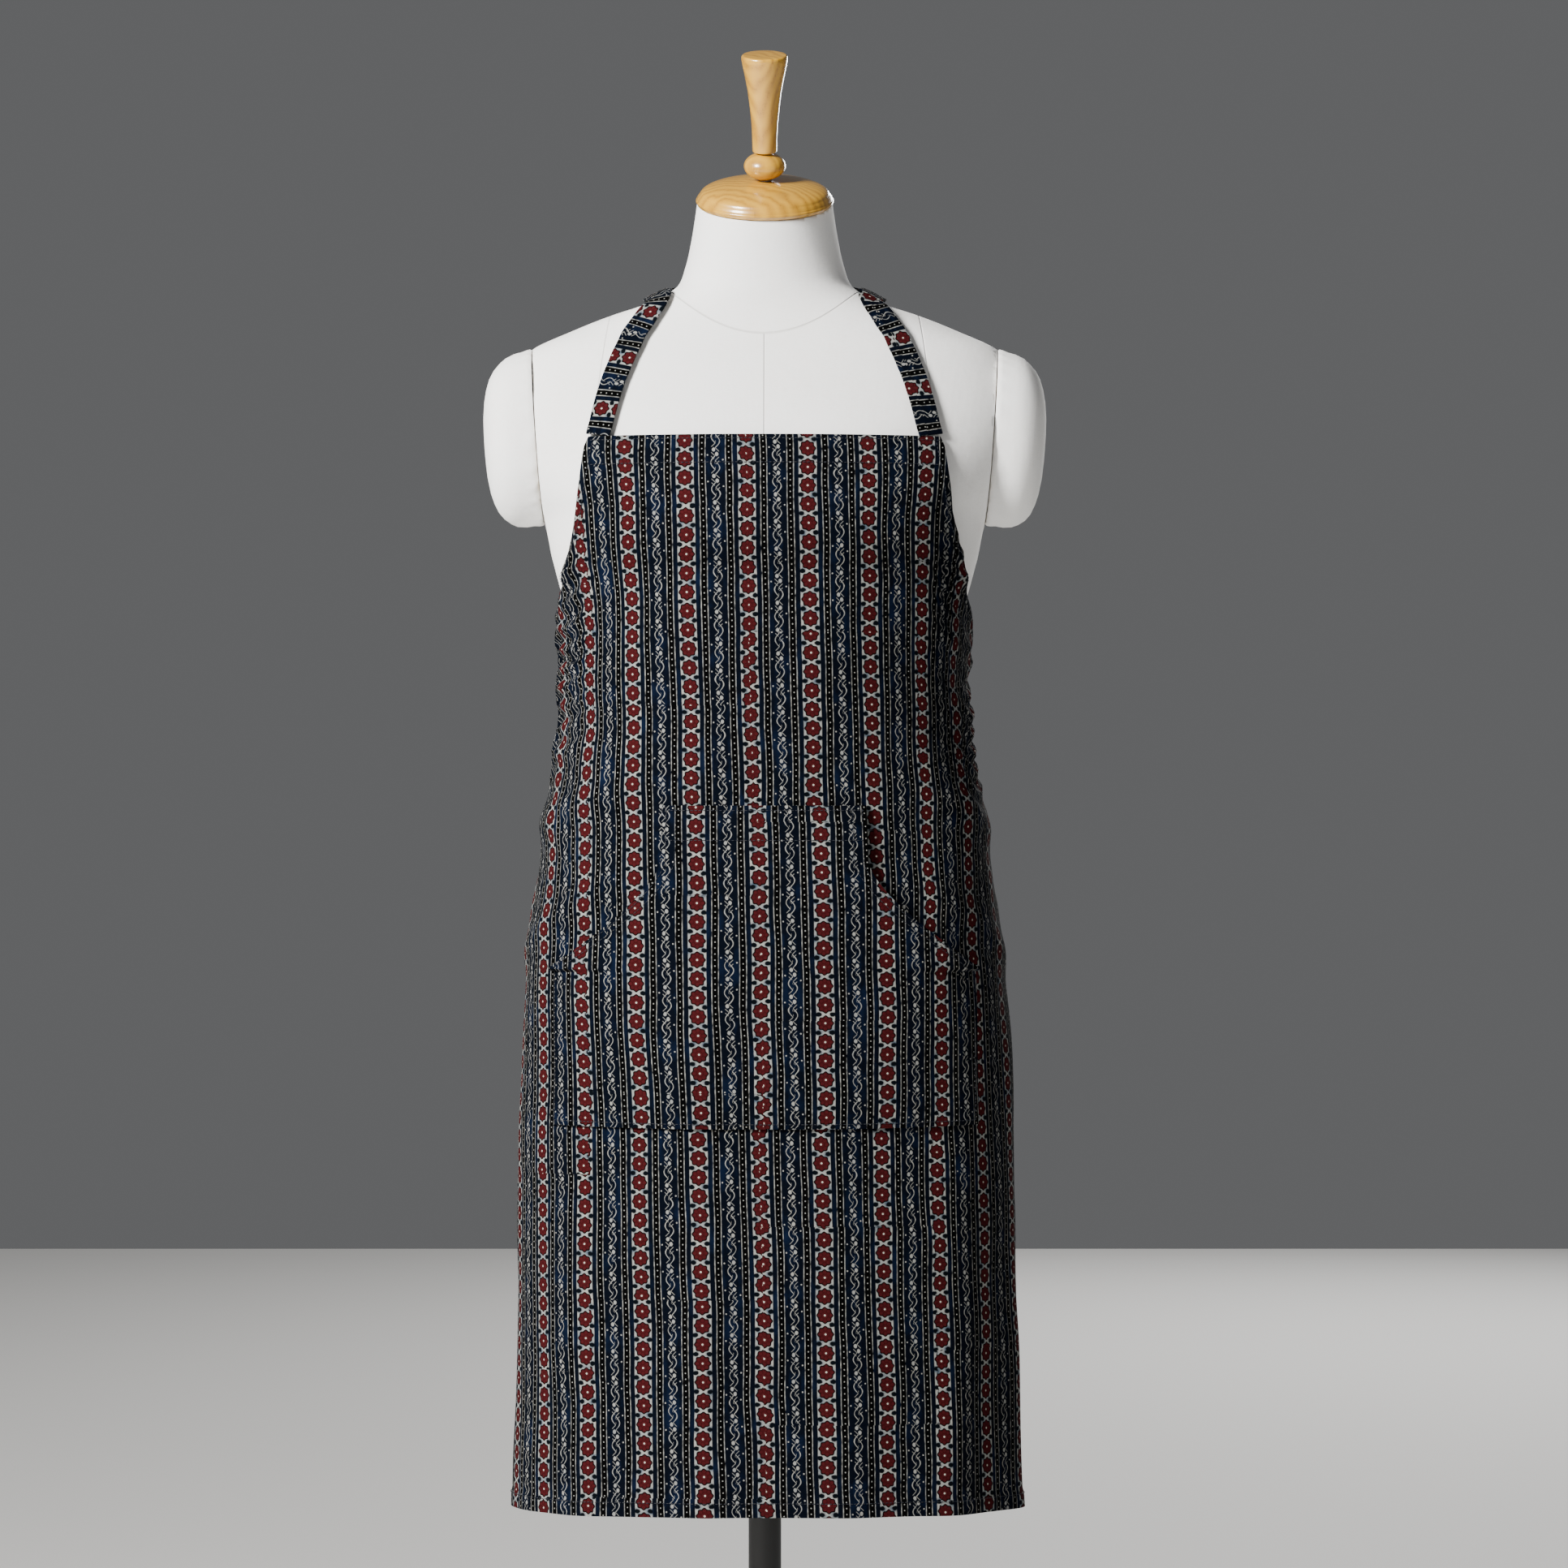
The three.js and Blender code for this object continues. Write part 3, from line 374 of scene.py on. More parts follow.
def clothPlace(across, height, lift=0.0):
    across, height = np.broadcast_arrays(np.asarray(across, dtype=float), np.asarray(height, dtype=float))
    t = clothTable
    r = np.clip((height - t["low"]) / t["heightStep"], 0, clothRows.shape[0] - 1.001)
    c = np.clip(np.abs(across) / t["distanceStep"], 0, clothRows.shape[1] - 1.001)
    r0, c0 = r.astype(int), c.astype(int)
    fr, fc = (r - r0)[..., None], (c - c0)[..., None]
    found = ((clothRows[r0, c0] * (1 - fc) + clothRows[r0, c0 + 1] * fc) * (1 - fr)
             + (clothRows[r0 + 1, c0] * (1 - fc) + clothRows[r0 + 1, c0 + 1] * fc) * fr)
    side = np.where(across < 0, -1.0, 1.0)
    x = (found[..., 0] + found[..., 2] * lift) * side
    return np.stack([x, found[..., 1] + found[..., 3] * lift, height], -1)


# Material helpers.
# A value in a node tree that can be added, multiplied and so on.
class Field:
    def __init__(self, tree, socket):
        self.tree = tree
        self.socket = socket

    def math(self, operation, *others, clamp=False):
        node = self.tree.nodes.new("ShaderNodeMath")
        node.operation = operation
        node.use_clamp = clamp
        self.tree.links.new(self.socket, node.inputs[0])
        for i, other in enumerate(others):
            if isinstance(other, Field):
                self.tree.links.new(other.socket, node.inputs[i + 1])
            else:
                node.inputs[i + 1].default_value = other
        return Field(self.tree, node.outputs[0])

    def __add__(self, other):
        return self.math("ADD", other)

    def __sub__(self, other):
        return self.math("SUBTRACT", other)

    def __mul__(self, other):
        return self.math("MULTIPLY", other)

    def __truediv__(self, other):
        return self.math("DIVIDE", other)

    def __neg__(self):
        return self.math("MULTIPLY", -1.0)

    def absolute(self):
        return self.math("ABSOLUTE")

    def sine(self):
        return self.math("SINE")

    def floor(self):
        return self.math("FLOOR")

    def larger(self, other):
        return self.math("MAXIMUM", other)

    # held between 0 and 1
    def limited(self):
        return self.math("ADD", 0.0, clamp=True)

    # distance from the middle of the nearest repeat, in the field's own units
    def repeat(self, size):
        return ((self / size + 0.5).math("FRACT") - 0.5) * size

    # 1 well under the level, 0 well over it, with a soft edge
    def under(self, level, soft):
        return ((self - level) / -soft + 0.5).limited()

    def over(self, level, soft):
        return ((self - level) / soft + 0.5).limited()


def hypotenuse(a, b):
    return (a * a + b * b).math("SQRT")


def newMaterial(name):
    material = bpy.data.materials.new(name)
    material.use_nodes = True
    tree = material.node_tree
    shader = tree.nodes["Principled BSDF"]
    return material, tree, shader


def addNode(tree, kind, links=(), **values):
    node = tree.nodes.new(kind)
    for key, value in values.items():
        if key in node.inputs:
            node.inputs[key].default_value = value
        else:
            setattr(node, key, value)
    for name, source in dict(links).items():
        tree.links.new(source.socket if isinstance(source, Field) else source, node.inputs[name])
    return node


def stretched(tree, coordinates, scale):
    return addNode(tree, "ShaderNodeMapping", {"Vector": coordinates}, Scale=scale).outputs[0]


def noiseField(tree, coordinates, scale, detail=2.0, roughness=0.5):
    node = addNode(tree, "ShaderNodeTexNoise", {"Vector": coordinates},
                   Scale=scale, Detail=detail, Roughness=roughness)
    return Field(tree, node.outputs["Fac"])


def mixColours(tree, factor, below, above):
    node = tree.nodes.new("ShaderNodeMix")
    node.data_type = "RGBA"
    tree.links.new(factor.socket, node.inputs[0])
    for i, colour in ((6, below), (7, above)):
        if isinstance(colour, tuple):
            node.inputs[i].default_value = (*colour, 1)
        else:
            tree.links.new(colour, node.inputs[i])
    return node.outputs[2]


def setBump(tree, shader, height, distance, strength=1.0):
    node = addNode(tree, "ShaderNodeBump", {"Height": height}, Distance=distance, Strength=strength)
    tree.links.new(node.outputs["Normal"], shader.inputs["Normal"])


# sRGB hex to the linear colour that shaders take
def colour(text):
    values = [int(text[i:i + 2], 16) / 255 for i in (1, 3, 5)]
    return tuple(v / 12.92 if v <= 0.04045 else ((v + 0.055) / 1.055) ** 2.4 for v in values)


# Printed cotton.
printCloth = {
    "repeat": 45.2,         # millimetres from one flower column to the next
    "flowerPitch": 13.9,
    "flowerRadius": 5.0,
    "dotPitch": 4.4,
    "vineHalf": 9.9,        # one leaf of the vine
    "blockHeight": 146.0,
    "blockWidth": 132.0,
    "slant": 0.02,
    "flowerBandAt": 0.146,  # these four are shares of the repeat, from the flower's middle
    "innerLineAt": 0.231,
    "blackBandAt": 0.284,
    "outerLineAt": 0.337,
    "red": "#421316",
    "deepRed": "#300c0f",
    "darkRed": "#260705",
    "navy": "#030711",
    "blue": "#0c1a33",
    "black": "#010101",
    "pale": "#989690",
    "chalk": "#666f77",
    "bleed": "#33475a",
    "blob": "#04080d",
    "centre": "#b9b2a6",
}


# The print reads the "cloth" map, which holds the flat cloth's own metres.
def makePrint(name, turned=False, shift=(0.0, 0.0)):
    p = printCloth
    material, tree, shader = newMaterial(name)
    uv = addNode(tree, "ShaderNodeUVMap", uv_map="cloth").outputs["UV"]
    parts = addNode(tree, "ShaderNodeSeparateXYZ", {"Vector": uv})
    first, second = (1, 0) if turned else (0, 1)
    x = Field(tree, parts.outputs[first]) * 1000 + shift[0]
    y = Field(tree, parts.outputs[second]) * 1000 + shift[1]
    x = x - y * p["slant"]
    slow = noiseField(tree, uv, 22, 1.0) - 0.5
    slower = noiseField(tree, uv, 9, 1.0) - 0.5
    x = x + slow * 2.0 + slower * 3.0
    blockColumn = (x / p["blockWidth"]).floor()
    blockRow = (y / p["blockHeight"] + blockColumn * 0.37).floor()
    block = addNode(tree, "ShaderNodeCombineXYZ", {"X": blockRow, "Y": blockColumn}).outputs[0]
    jump = addNode(tree, "ShaderNodeTexWhiteNoise", {"Vector": block})
    jumps = addNode(tree, "ShaderNodeSeparateColor", {"Color": jump.outputs["Color"]})
    x = x + (Field(tree, jumps.outputs[0]) - 0.5) * 1.3
    y = y + (Field(tree, jumps.outputs[1]) - 0.5) * 3.0
    rough = (noiseField(tree, uv, 420, 2.0) - 0.5) * 1.1
    fine = (noiseField(tree, uv, 900, 2.0) - 0.5) * 1.0

    column = (x / p["repeat"] + 0.5).floor()
    dx = x.repeat(p["repeat"])
    reach = dx.absolute() / p["repeat"]
    edge = rough * 0.006

    # the flower column
    fy = (y + column * 4.1).repeat(p["flowerPitch"])
    radius = hypotenuse(dx, fy)
    angle = dx.math("ARCTAN2", fy)
    lobes = (angle * 8).math("COSINE")
    petalEdge = radius + rough * 0.55 - lobes * 0.42
    flower = petalEdge.under(p["flowerRadius"], 0.5)
    outline = petalEdge.under(p["flowerRadius"] + 0.95, 0.5)
    innerRing = (radius - 2.5).absolute().under(0.22, 0.3)
    spokes = (-lobes).over(0.78, 0.3) * radius.over(2.6, 0.4) * 0.6
    centre = radius.under(0.72, 0.35)
    my = (y + column * 4.1 + p["flowerPitch"] / 2).repeat(p["flowerPitch"])
    blob = hypotenuse((dx.absolute() - 5.0) * 0.8, my) + rough * 1.1
    blobs = blob.under(1.75, 0.6)
    bleedNoise = noiseField(tree, uv, 95, 3.0)
    sideBleed = blob.under(2.6, 1.2) * 0.5
    bleed = ((bleedNoise - 0.52) * 3.2 + sideBleed).limited() * 0.85

    # lines, dotted stripe and vine
    flowerBand = (reach + edge).under(p["flowerBandAt"], 0.012)
    innerLine = (reach + edge - p["innerLineAt"]).absolute().under(0.0078, 0.006)
    outerLine = (reach + edge * 0.8 - p["outerLineAt"]).absolute().under(0.0072, 0.006)
    blackBand = (reach - p["blackBandAt"]).absolute().under(0.050, 0.006)
    dotY = (y + column * 1.7).repeat(p["dotPitch"])
    dotX = (reach - p["blackBandAt"]) * p["repeat"]
    dots = (hypotenuse(dotX, dotY) + fine * 0.3).under(0.45, 0.3)
    # the vine repeats mirrored every half wave: a stem, two hook strokes, a leaf and a dot
    half = p["vineHalf"]
    vy = y + column * 6.3
    turnIndex = (vy / half + 0.5).floor()
    ly = vy - turnIndex * half
    flip = (turnIndex * math.pi).math("COSINE")
    fx = (x + p["repeat"] / 2).repeat(p["repeat"]) * flip
    breaks = noiseField(tree, uv, 230, 1.0)
    stemWidth = (breaks - 0.3) * 0.6 + 0.10
    stem = ((fx - (ly * (math.pi / half)).sine() * 3.1).absolute() * 0.8).under(stemWidth, 0.4)
    strokeOne = ((fx + ly).absolute() * 0.707).under(0.24, 0.3) * (fx - ly).absolute().under(5.6, 0.8)
    strokeTwo = ((fx + ly - 3.0).absolute() * 0.707).under(0.22, 0.3)
    strokeTwo = strokeTwo * (fx - ly - 0.6).absolute().under(2.2, 0.6)
    hooks = strokeOne.larger(strokeTwo)
    leafY = ly.absolute() - half / 2
    leafX = fx + ly.math("SIGN") * 1.1
    leafSpot = hypotenuse(leafX * 0.9, leafY) + rough * 0.6 - (leafX * 1.6).math("COSINE") * 0.25
    leaf = leafSpot.under(1.25, 0.6)
    speck = (hypotenuse(fx - 5.5, ly + 0.8) + fine * 0.3).under(0.55, 0.3)
    vine = stem.larger(hooks * 0.6).larger(leaf * 0.9).larger(speck) * reach.over(0.350, 0.01)

    # dyes: the navy ground is faded in patches
    patch = noiseField(tree, uv, 34, 3.0, 0.6)
    faded = (patch - 0.5) * 2.4
    streaks = noiseField(tree, stretched(tree, uv, (260, 30, 1)), 1.0, 2.0)
    ground = mixColours(tree, (faded + (streaks - 0.5) * 1.2).limited(),
                        colour(p["navy"]), colour(p["blue"]))
    paleNoise = noiseField(tree, uv, 75, 3.0, 0.6)
    pale = mixColours(tree, ((paleNoise - 0.35) * 1.3).limited(),
                      colour(p["pale"]), colour(p["chalk"]))
    redNoise = noiseField(tree, uv, 300, 3.0, 0.6)
    red = mixColours(tree, ((redNoise - 0.4) * 1.6).limited(),
                     colour(p["red"]), colour(p["deepRed"]))
    band, cloth = pale, ground
    for mask, dye in ((bleed, colour(p["bleed"])), (blobs, colour(p["blob"])),
                      (outline, colour(p["black"])), (flower, red),
                      ((innerRing * 0.7).larger(spokes) * flower, colour(p["darkRed"])),
                      (centre, colour(p["centre"]))):
        band = mixColours(tree, mask, band, dye)
    lines = innerLine.larger(outerLine) * ((breaks - 0.25) * 2.2).limited()
    for mask, dye in ((vine, pale), (blackBand, colour(p["black"])), (dots * blackBand, pale),
                      (lines, pale), (flowerBand, band)):
        cloth = mixColours(tree, mask, cloth, dye)

    # plain weave: threads half a millimetre apart; the print's colour is darkened in the gaps between the
    # threads as painted shade, and varied by the slubs' random tone; the weave is also a bump
    u = Field(tree, parts.outputs[0]) * (math.pi / 0.00045)
    v = Field(tree, parts.outputs[1]) * (math.pi / 0.00045)
    weave = u.sine().absolute() * v.sine().absolute()
    slub = noiseField(tree, uv, 1400, 2.0)
    shade = (weave * 0.16 + slub * 0.22 + 0.72).limited()
    # the print is multiplied by the painted weave shade and the slub tone
    shaded = addNode(tree, "ShaderNodeMix", data_type="RGBA", blend_type="MULTIPLY")
    shaded.inputs[0].default_value = 1
    tree.links.new(cloth, shaded.inputs[6])
    grey = addNode(tree, "ShaderNodeCombineColor", {"Red": shade, "Green": shade, "Blue": shade})
    tree.links.new(grey.outputs[0], shaded.inputs[7])
    tree.links.new(shaded.outputs[2], shader.inputs["Base Color"])
    roughness = patch * 0.12 + 0.78
    tree.links.new(roughness.socket, shader.inputs["Roughness"])
    shader.inputs["Specular IOR Level"].default_value = 0.03
    setBump(tree, shader, weave * 0.7 + slub * 0.5, 0.00025, 0.6)
    return material


# Other finishes.
def objectCoordinates(tree):
    return addNode(tree, "ShaderNodeTexCoord").outputs["Object"]


# White cotton stretched over the form; seams are thin grooves along named planes.
def makeCotton(name, withSeams):
    material, tree, shader = newMaterial(name)
    place = objectCoordinates(tree)
    parts = addNode(tree, "ShaderNodeSeparateXYZ", {"Vector": place})
    x, y, z = (Field(tree, parts.outputs[i]) for i in range(3))
    stain = noiseField(tree, place, 9, 4.0, 0.6)
    lint = noiseField(tree, place, 330, 3.0, 0.7)
    tone = ((stain - 0.45) * 1.2 + (lint - 0.5) * 0.5).limited()
    base = mixColours(tree, tone, colour("#f9f8f6"), colour("#ebe8e2"))
    threads = math.pi / 0.0007
    weave = (x * threads).sine().absolute() * (z * threads).sine().absolute()
    slub = noiseField(tree, stretched(tree, place, (1, 1, 6)), 240, 2.0)
    puckers = noiseField(tree, place, 70, 3.0, 0.55)
    height = weave * 0.25 + slub * 0.4 + puckers * 1.6
    if withSeams:
        neckPlane = z - x * x * 6.9 - y.math("MAXIMUM", 0.0) * 0.85 - (body["neckBase"] - 0.041)
        nearNeck = hypotenuse(x, y + 0.01).under(0.10, 0.004)
        neckSeam = neckPlane.absolute().under(0.0007, 0.0008) * nearNeck
        onBody = neckPlane.under(0.0, 0.001)
        frontSeam = x.absolute().under(0.0005, 0.0007) * onBody
        princess = (x.absolute() - 0.119 + (z - 1.36) * 0.12).absolute().under(0.0004, 0.0007) * onBody
        sideSeam = (y - 0.012).absolute().under(0.0005, 0.0008) * onBody * z.under(1.225, 0.004)
        seams = neckSeam.larger(frontSeam).larger(princess * 0.8).larger(sideSeam)
        base = mixColours(tree, seams * 0.35, base, colour("#9c968c"))
        height = height - seams * 2.6
    tree.links.new(base, shader.inputs["Base Color"])
    shader.inputs["Roughness"].default_value = 0.82
    shader.inputs["Sheen Weight"].default_value = 0.15
    shader.inputs["Specular IOR Level"].default_value = 0.3
    setBump(tree, shader, height, 0.0004, 0.55)
    return material


def makeWood(name, light, mid, dark, gloss, along=(1.0, 1.0, 0.12), scale=16):
    material, tree, shader = newMaterial(name)
    place = objectCoordinates(tree)
    turnedPlace = addNode(tree, "ShaderNodeMapping", {"Vector": place}, Scale=along,
                          Rotation=(math.radians(22), math.radians(14), 0)).outputs[0]
    warp = addNode(tree, "ShaderNodeTexNoise", {"Vector": turnedPlace}, Scale=scale, Detail=3.0)
    bent = addNode(tree, "ShaderNodeVectorMath", operation="MULTIPLY_ADD")
    tree.links.new(warp.outputs["Color"], bent.inputs[0])
    bent.inputs[1].default_value = (0.045, 0.045, 0.045)
    tree.links.new(turnedPlace, bent.inputs[2])
    rings = addNode(tree, "ShaderNodeTexWave", {"Vector": bent.outputs[0]}, wave_type="BANDS",
                    bands_direction="DIAGONAL", Scale=62, Distortion=2.2, Detail=3.0)
    rings.inputs["Detail Scale"].default_value = 1.6
    grain = Field(tree, rings.outputs["Fac"])
    pores = noiseField(tree, stretched(tree, place, (900, 900, 55)), 1.0, 3.0, 0.7)
    blotch = noiseField(tree, place, 26, 2.0)
    base = mixColours(tree, (grain * 0.75 + (blotch - 0.5) * 0.7).limited(),
                      colour(light), colour(mid))
    base = mixColours(tree, ((pores - 0.56) * 2.4 + (grain - 0.8) * 1.1).limited(),
                      base, colour(dark))
    tree.links.new(base, shader.inputs["Base Color"])
    roughness = (pores * 0.16 + (0.24 if gloss else 0.55))
    tree.links.new(roughness.socket, shader.inputs["Roughness"])
    shader.inputs["Coat Weight"].default_value = 0.8 if gloss else 0.0
    shader.inputs["Coat Roughness"].default_value = 0.12
    setBump(tree, shader, pores * 0.5 + grain * 0.3, 0.0002, 0.35 if gloss else 0.8)
    return material


# Painted, plated and moulded finishes share one set of nodes.
def makeHard(name, base, wear, metallic, roughness, spread, grainScale, bump, coat=0.0):
    material, tree, shader = newMaterial(name)
    place = objectCoordinates(tree)
    grain = noiseField(tree, place, grainScale, 3.0, 0.6)
    smudge = noiseField(tree, place, 24, 3.0, 0.6)
    mix = ((smudge - 0.5) * 1.6 + (grain - 0.5) * 0.6).limited()
    tree.links.new(mixColours(tree, mix, colour(base), colour(wear)), shader.inputs["Base Color"])
    tree.links.new((smudge * spread + roughness).socket, shader.inputs["Roughness"])
    shader.inputs["Metallic"].default_value = metallic
    shader.inputs["Coat Weight"].default_value = coat
    setBump(tree, shader, grain, bump, 0.5)
    return material


makeStudio()
finishes = {
    "print": makePrint("printedCotton", shift=(14.0, 0.0)),
    "pocketPrint": makePrint("pocketCotton", shift=(10.7, 6.0)),
    "strapPrint": makePrint("strapCotton", turned=True, shift=(7.0, 3.0)),
    "cotton": makeCotton("formCotton", True),
    "capCotton": makeCotton("armCapCotton", False),
    "lacquer": makeWood("lacqueredWood", "#c8962e", "#ab7a22", "#744812", True),
    "board": makeWood("boardWood", "#b89a70", "#9b7b50", "#6e5230", False, scale=9),
    "papier": makeHard("papierMache", "#b3a283", "#8f7f63", 0, 0.8, 0.12, 90, 0.0006),
    "blackPaint": makeHard("blackPaint", "#020202", "#060607", 0, 0.42, 0.14, 520, 0.0001, coat=0.06),
    "steel": makeHard("zincSteel", "#a5a8aa", "#7c7f82", 1, 0.28, 0.2, 700, 0.00005),
    "plastic": makeHard("blackPlastic", "#121213", "#1d1d1f", 0, 0.48, 0.14, 900, 0.0001),
    "rubber": makeHard("rubber", "#0e0e0e", "#191817", 0, 0.78, 0.12, 400, 0.0002),
    "label": makeHard("wovenLabel", "#101014", "#1c1c22", 0, 0.75, 0.1, 1500, 0.0002),
    "thread": makeHard("darkThread", "#10141f", "#1c2333", 0, 0.7, 0.1, 1800, 0.0001),
}
print("finishes made")


# Putting a piece in the frame.
def keep(made, owner, slot, material, *nodes):
    made.data.materials.clear()
    made.data.materials.append(finishes[material])
    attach(made, owner)
    if nodes:
        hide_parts(*nodes)


# A piece of cloth on the form; the look is named after the node it stands for.
def keepCloth(node, grid, normals, thickness, uvs, flat, held, finish="strapPrint", **known):
    made = thickSheet(node + "_look", grid, normals, thickness, uvs)
    keep(made, "form", "print_cotton", finish, node)


# Stitches along polylines: one short round-ended dash per spot, laid by geometry nodes.
stitches = {
    "length": 0.0024,
    "thickness": 0.00055,
    "seed": 4,
    "wander": 0.00012,
}


def stitchMesh(name, lines):
    pitch, points, tangents = seams["pitch"], [], []
    for line in lines:
        along = np.concatenate([[0], np.cumsum(np.linalg.norm(np.diff(line, axis=0), axis=1))])

        def spots(reach):
            return np.stack([np.interp(reach, along, line[:, i]) for i in range(3)], 1)

        reach = np.arange(pitch / 2, along[-1], pitch)
        points.append(spots(reach))
        before, after = np.maximum(reach - pitch / 3, 0), np.minimum(reach + pitch / 3, along[-1])
        tangents.append(spots(after) - spots(before))
    seeds = bpy.data.meshes.new(name)
    seeds.from_pydata([tuple(p) for p in np.concatenate(points)], [], [])
    seeds.attributes.new("tangent", "FLOAT_VECTOR", "POINT").data.foreach_set(
        "vector", np.concatenate(tangents).astype(np.float32).ravel())
    made = bpy.data.objects.new(name, seeds)
    bpy.context.scene.collection.objects.link(made)
    group = bpy.data.node_groups.new(name + "Stitches", "GeometryNodeTree")
    face = group.interface
    face.new_socket("Geometry", in_out="INPUT", socket_type="NodeSocketGeometry")
    sizes = {}
    for label, key in (("Stitch Length", "length"), ("Stitch Thickness", "thickness"), ("Wander", "wander")):
        sizes[label] = face.new_socket(label, in_out="INPUT", socket_type="NodeSocketFloat")
        sizes[label].default_value = stitches[key]
    face.new_socket("Geometry", in_out="OUTPUT", socket_type="NodeSocketGeometry")
    start = addNode(group, "NodeGroupInput").outputs
    ball = addNode(group, "GeometryNodeMeshUVSphere", Segments=8, Rings=6, Radius=0.5)
    wide = start["Stitch Thickness"]
    size = addNode(group, "ShaderNodeCombineXYZ", {"X": wide, "Y": wide, "Z": start["Stitch Length"]})
    tangent = addNode(group, "GeometryNodeInputNamedAttribute", data_type="FLOAT_VECTOR", Name="tangent")
    turn = addNode(group, "FunctionNodeAlignRotationToVector",
                   {"Vector": tangent.outputs["Attribute"]}, axis="Z")
    place = addNode(group, "GeometryNodeInstanceOnPoints", {
        "Points": start["Geometry"], "Instance": ball.outputs["Mesh"],
        "Rotation": turn.outputs["Rotation"], "Scale": size.outputs[0]})
    shiftBy = addNode(group, "FunctionNodeRandomValue", data_type="FLOAT_VECTOR",
                      Seed=stitches["seed"], Min=(-1, -1, -1))
    scaled = addNode(group, "ShaderNodeVectorMath",
                     {"Vector": shiftBy.outputs["Value"]}, operation="SCALE")
    group.links.new(start["Wander"], scaled.inputs["Scale"])
    move = addNode(group, "GeometryNodeTranslateInstances",
                   {"Instances": place.outputs["Instances"], "Translation": scaled.outputs[0]})
    real = addNode(group, "GeometryNodeRealizeInstances", {"Geometry": move.outputs["Instances"]})
    paint = addNode(group, "GeometryNodeSetMaterial", {"Geometry": real.outputs["Geometry"]},
                    Material=finishes["thread"])
    addNode(group, "NodeGroupOutput", {"Geometry": paint.outputs["Geometry"]})
    modifier = made.modifiers.new("stitches", "NODES")
    modifier.node_group = group
    for socket in sizes.values():
        modifier[socket.identifier] = socket.default_value
    applyModifier(made, modifier)
    made.data.polygons.foreach_set("use_smooth", [True] * len(made.data.polygons))
    keep(made, "form", "print_cotton", "thread")


# The torso.
torso = {
    "neckTilt": 22.0,
    "neckSpot": (0, -0.020, 1.461),
    "armPlaneLean": 4.0,
    "armPlaneReach": 0.172,
    "armHeight": 1.286,
    "rowStep": 0.0035,
    "sides": 260,
}
neckPlace = Matrix.Translation(torso["neckSpot"]) @ Matrix.Rotation(math.radians(torso["neckTilt"]), 4, "X")


def armPlace(side):
    return (Matrix.Translation((side * torso["armPlaneReach"], 0, torso["armHeight"]))
            @ Matrix.Rotation(math.radians(side * torso["armPlaneLean"]), 4, "Y"))


# Cuts off what lies beyond a plane, or beyond it among the faces that the test picks.
def cutFlat(made, spot, normal, picks=None):
    work = bmesh.new()
    work.from_mesh(made.data)
    if picks is None:
        geometry = work.verts[:] + work.edges[:] + work.faces[:]
    else:
        near = [f for f in work.faces if picks(f.calc_center_median())]
        geometry = set(near)
        for f in near:
            geometry.update(f.verts)
            geometry.update(f.edges)
    bmesh.ops.bisect_plane(work, geom=list(geometry), dist=1e-6, plane_co=spot,
                           plane_no=normal, clear_outer=True)
    work.to_mesh(made.data)
    work.free()


def makeTorso(name, node, slot, finish, inset, thickness):
    top, bottom = body["neckBase"] + 0.095, body["bottom"] + 0.0002
    heights = np.linspace(bottom, top, int((top - bottom) / torso["rowStep"]))
    turns = np.linspace(0, 2 * math.pi, torso["sides"], endpoint=False)
    grid = np.array([bodyPointsOut(turns, h, -inset) for h in heights])
    made = meshObject(name, grid.reshape(-1, 3), ringFaces(len(heights), len(turns)))
    neckUp = neckPlace.to_3x3() @ Vector((0, 0, 1))
    cutFlat(made, neckPlace.translation - neckUp * 0.0002, neckUp)
    for side in (-1, 1):
        place = armPlace(side)
        cutFlat(made, place.translation, place.to_3x3() @ Vector((side, 0, 0)),
                lambda spot: spot.x * side > 0.10 and abs(spot.z - torso["armHeight"]) < 0.085)
    thick = made.modifiers.new("thickness", "SOLIDIFY")
    thick.thickness = thickness
    thick.offset = -1
    applyModifier(made, thick)
    if signedVolume(made.data) < 0:
        made.data.flip_normals()
    keep(made, "form", slot, finish, node)


armCap = {
    "height": 0.132,
    "depth": 0.104,
    "reach": 0.042,
    "sag": 0.006,
    "fill": 0.7,
    "gap": 0.0009,
    "pucker": 0.0005,
    "unevenness": 0.0012,
}
armSteps = [[0, 1.0], [0.04, 1.012], [0.10, 1.014], [0.2, 1.004], [0.34, 1.0], [0.5, 0.975], [0.62, 0.93],
            [0.74, 0.862], [0.83, 0.78], [0.9, 0.67], [0.95, 0.55], [0.985, 0.4], [1.0, 0.26], [1.004, 0.12]]


# A padded stub: outline rings swell a little behind the seam and close to a soft blunt nose.
def makeArmCap(side, hand):
    place = armPlace(side)
    sides = 128
    rings = []
    for reachShare, share in armSteps:
        ringPoints = []
        for i in range(sides):
            turn = 2 * math.pi * i / sides
            c, s = math.cos(turn), math.sin(turn)
            y = armCap["depth"] / 2 * math.copysign(abs(c) ** 0.93, c) * share
            z = armCap["height"] / 2 * math.copysign(abs(s) ** 0.93, s) * share
            nearSeam = math.exp(-((reachShare - 0.05) / 0.07) ** 2)
            pucker = armCap["pucker"] * math.sin(turn * 26 + 2 * math.sin(turn * 3)) * nearSeam
            soft = noise.noise(Vector((y * 30, z * 30, reachShare * 2 + side)))
            soft = soft * armCap["unevenness"] * reachShare
            grow = 1 + (pucker + soft) / 0.05
            x = armCap["gap"] + reachShare * (armCap["reach"] - armCap["gap"] - 0.0003)
            ringPoints.append(place @ Vector((side * x, y * grow, z * grow - armCap["sag"] * reachShare)))
        rings.append(ringPoints)
    made = loftObject("arm_cap_%s_look" % hand, rings)
    made.data.set_sharp_from_angle(angle=math.radians(60))
    keep(made, "arm_" + hand, "white_cotton", "capCotton", "arm_cap_" + hand)


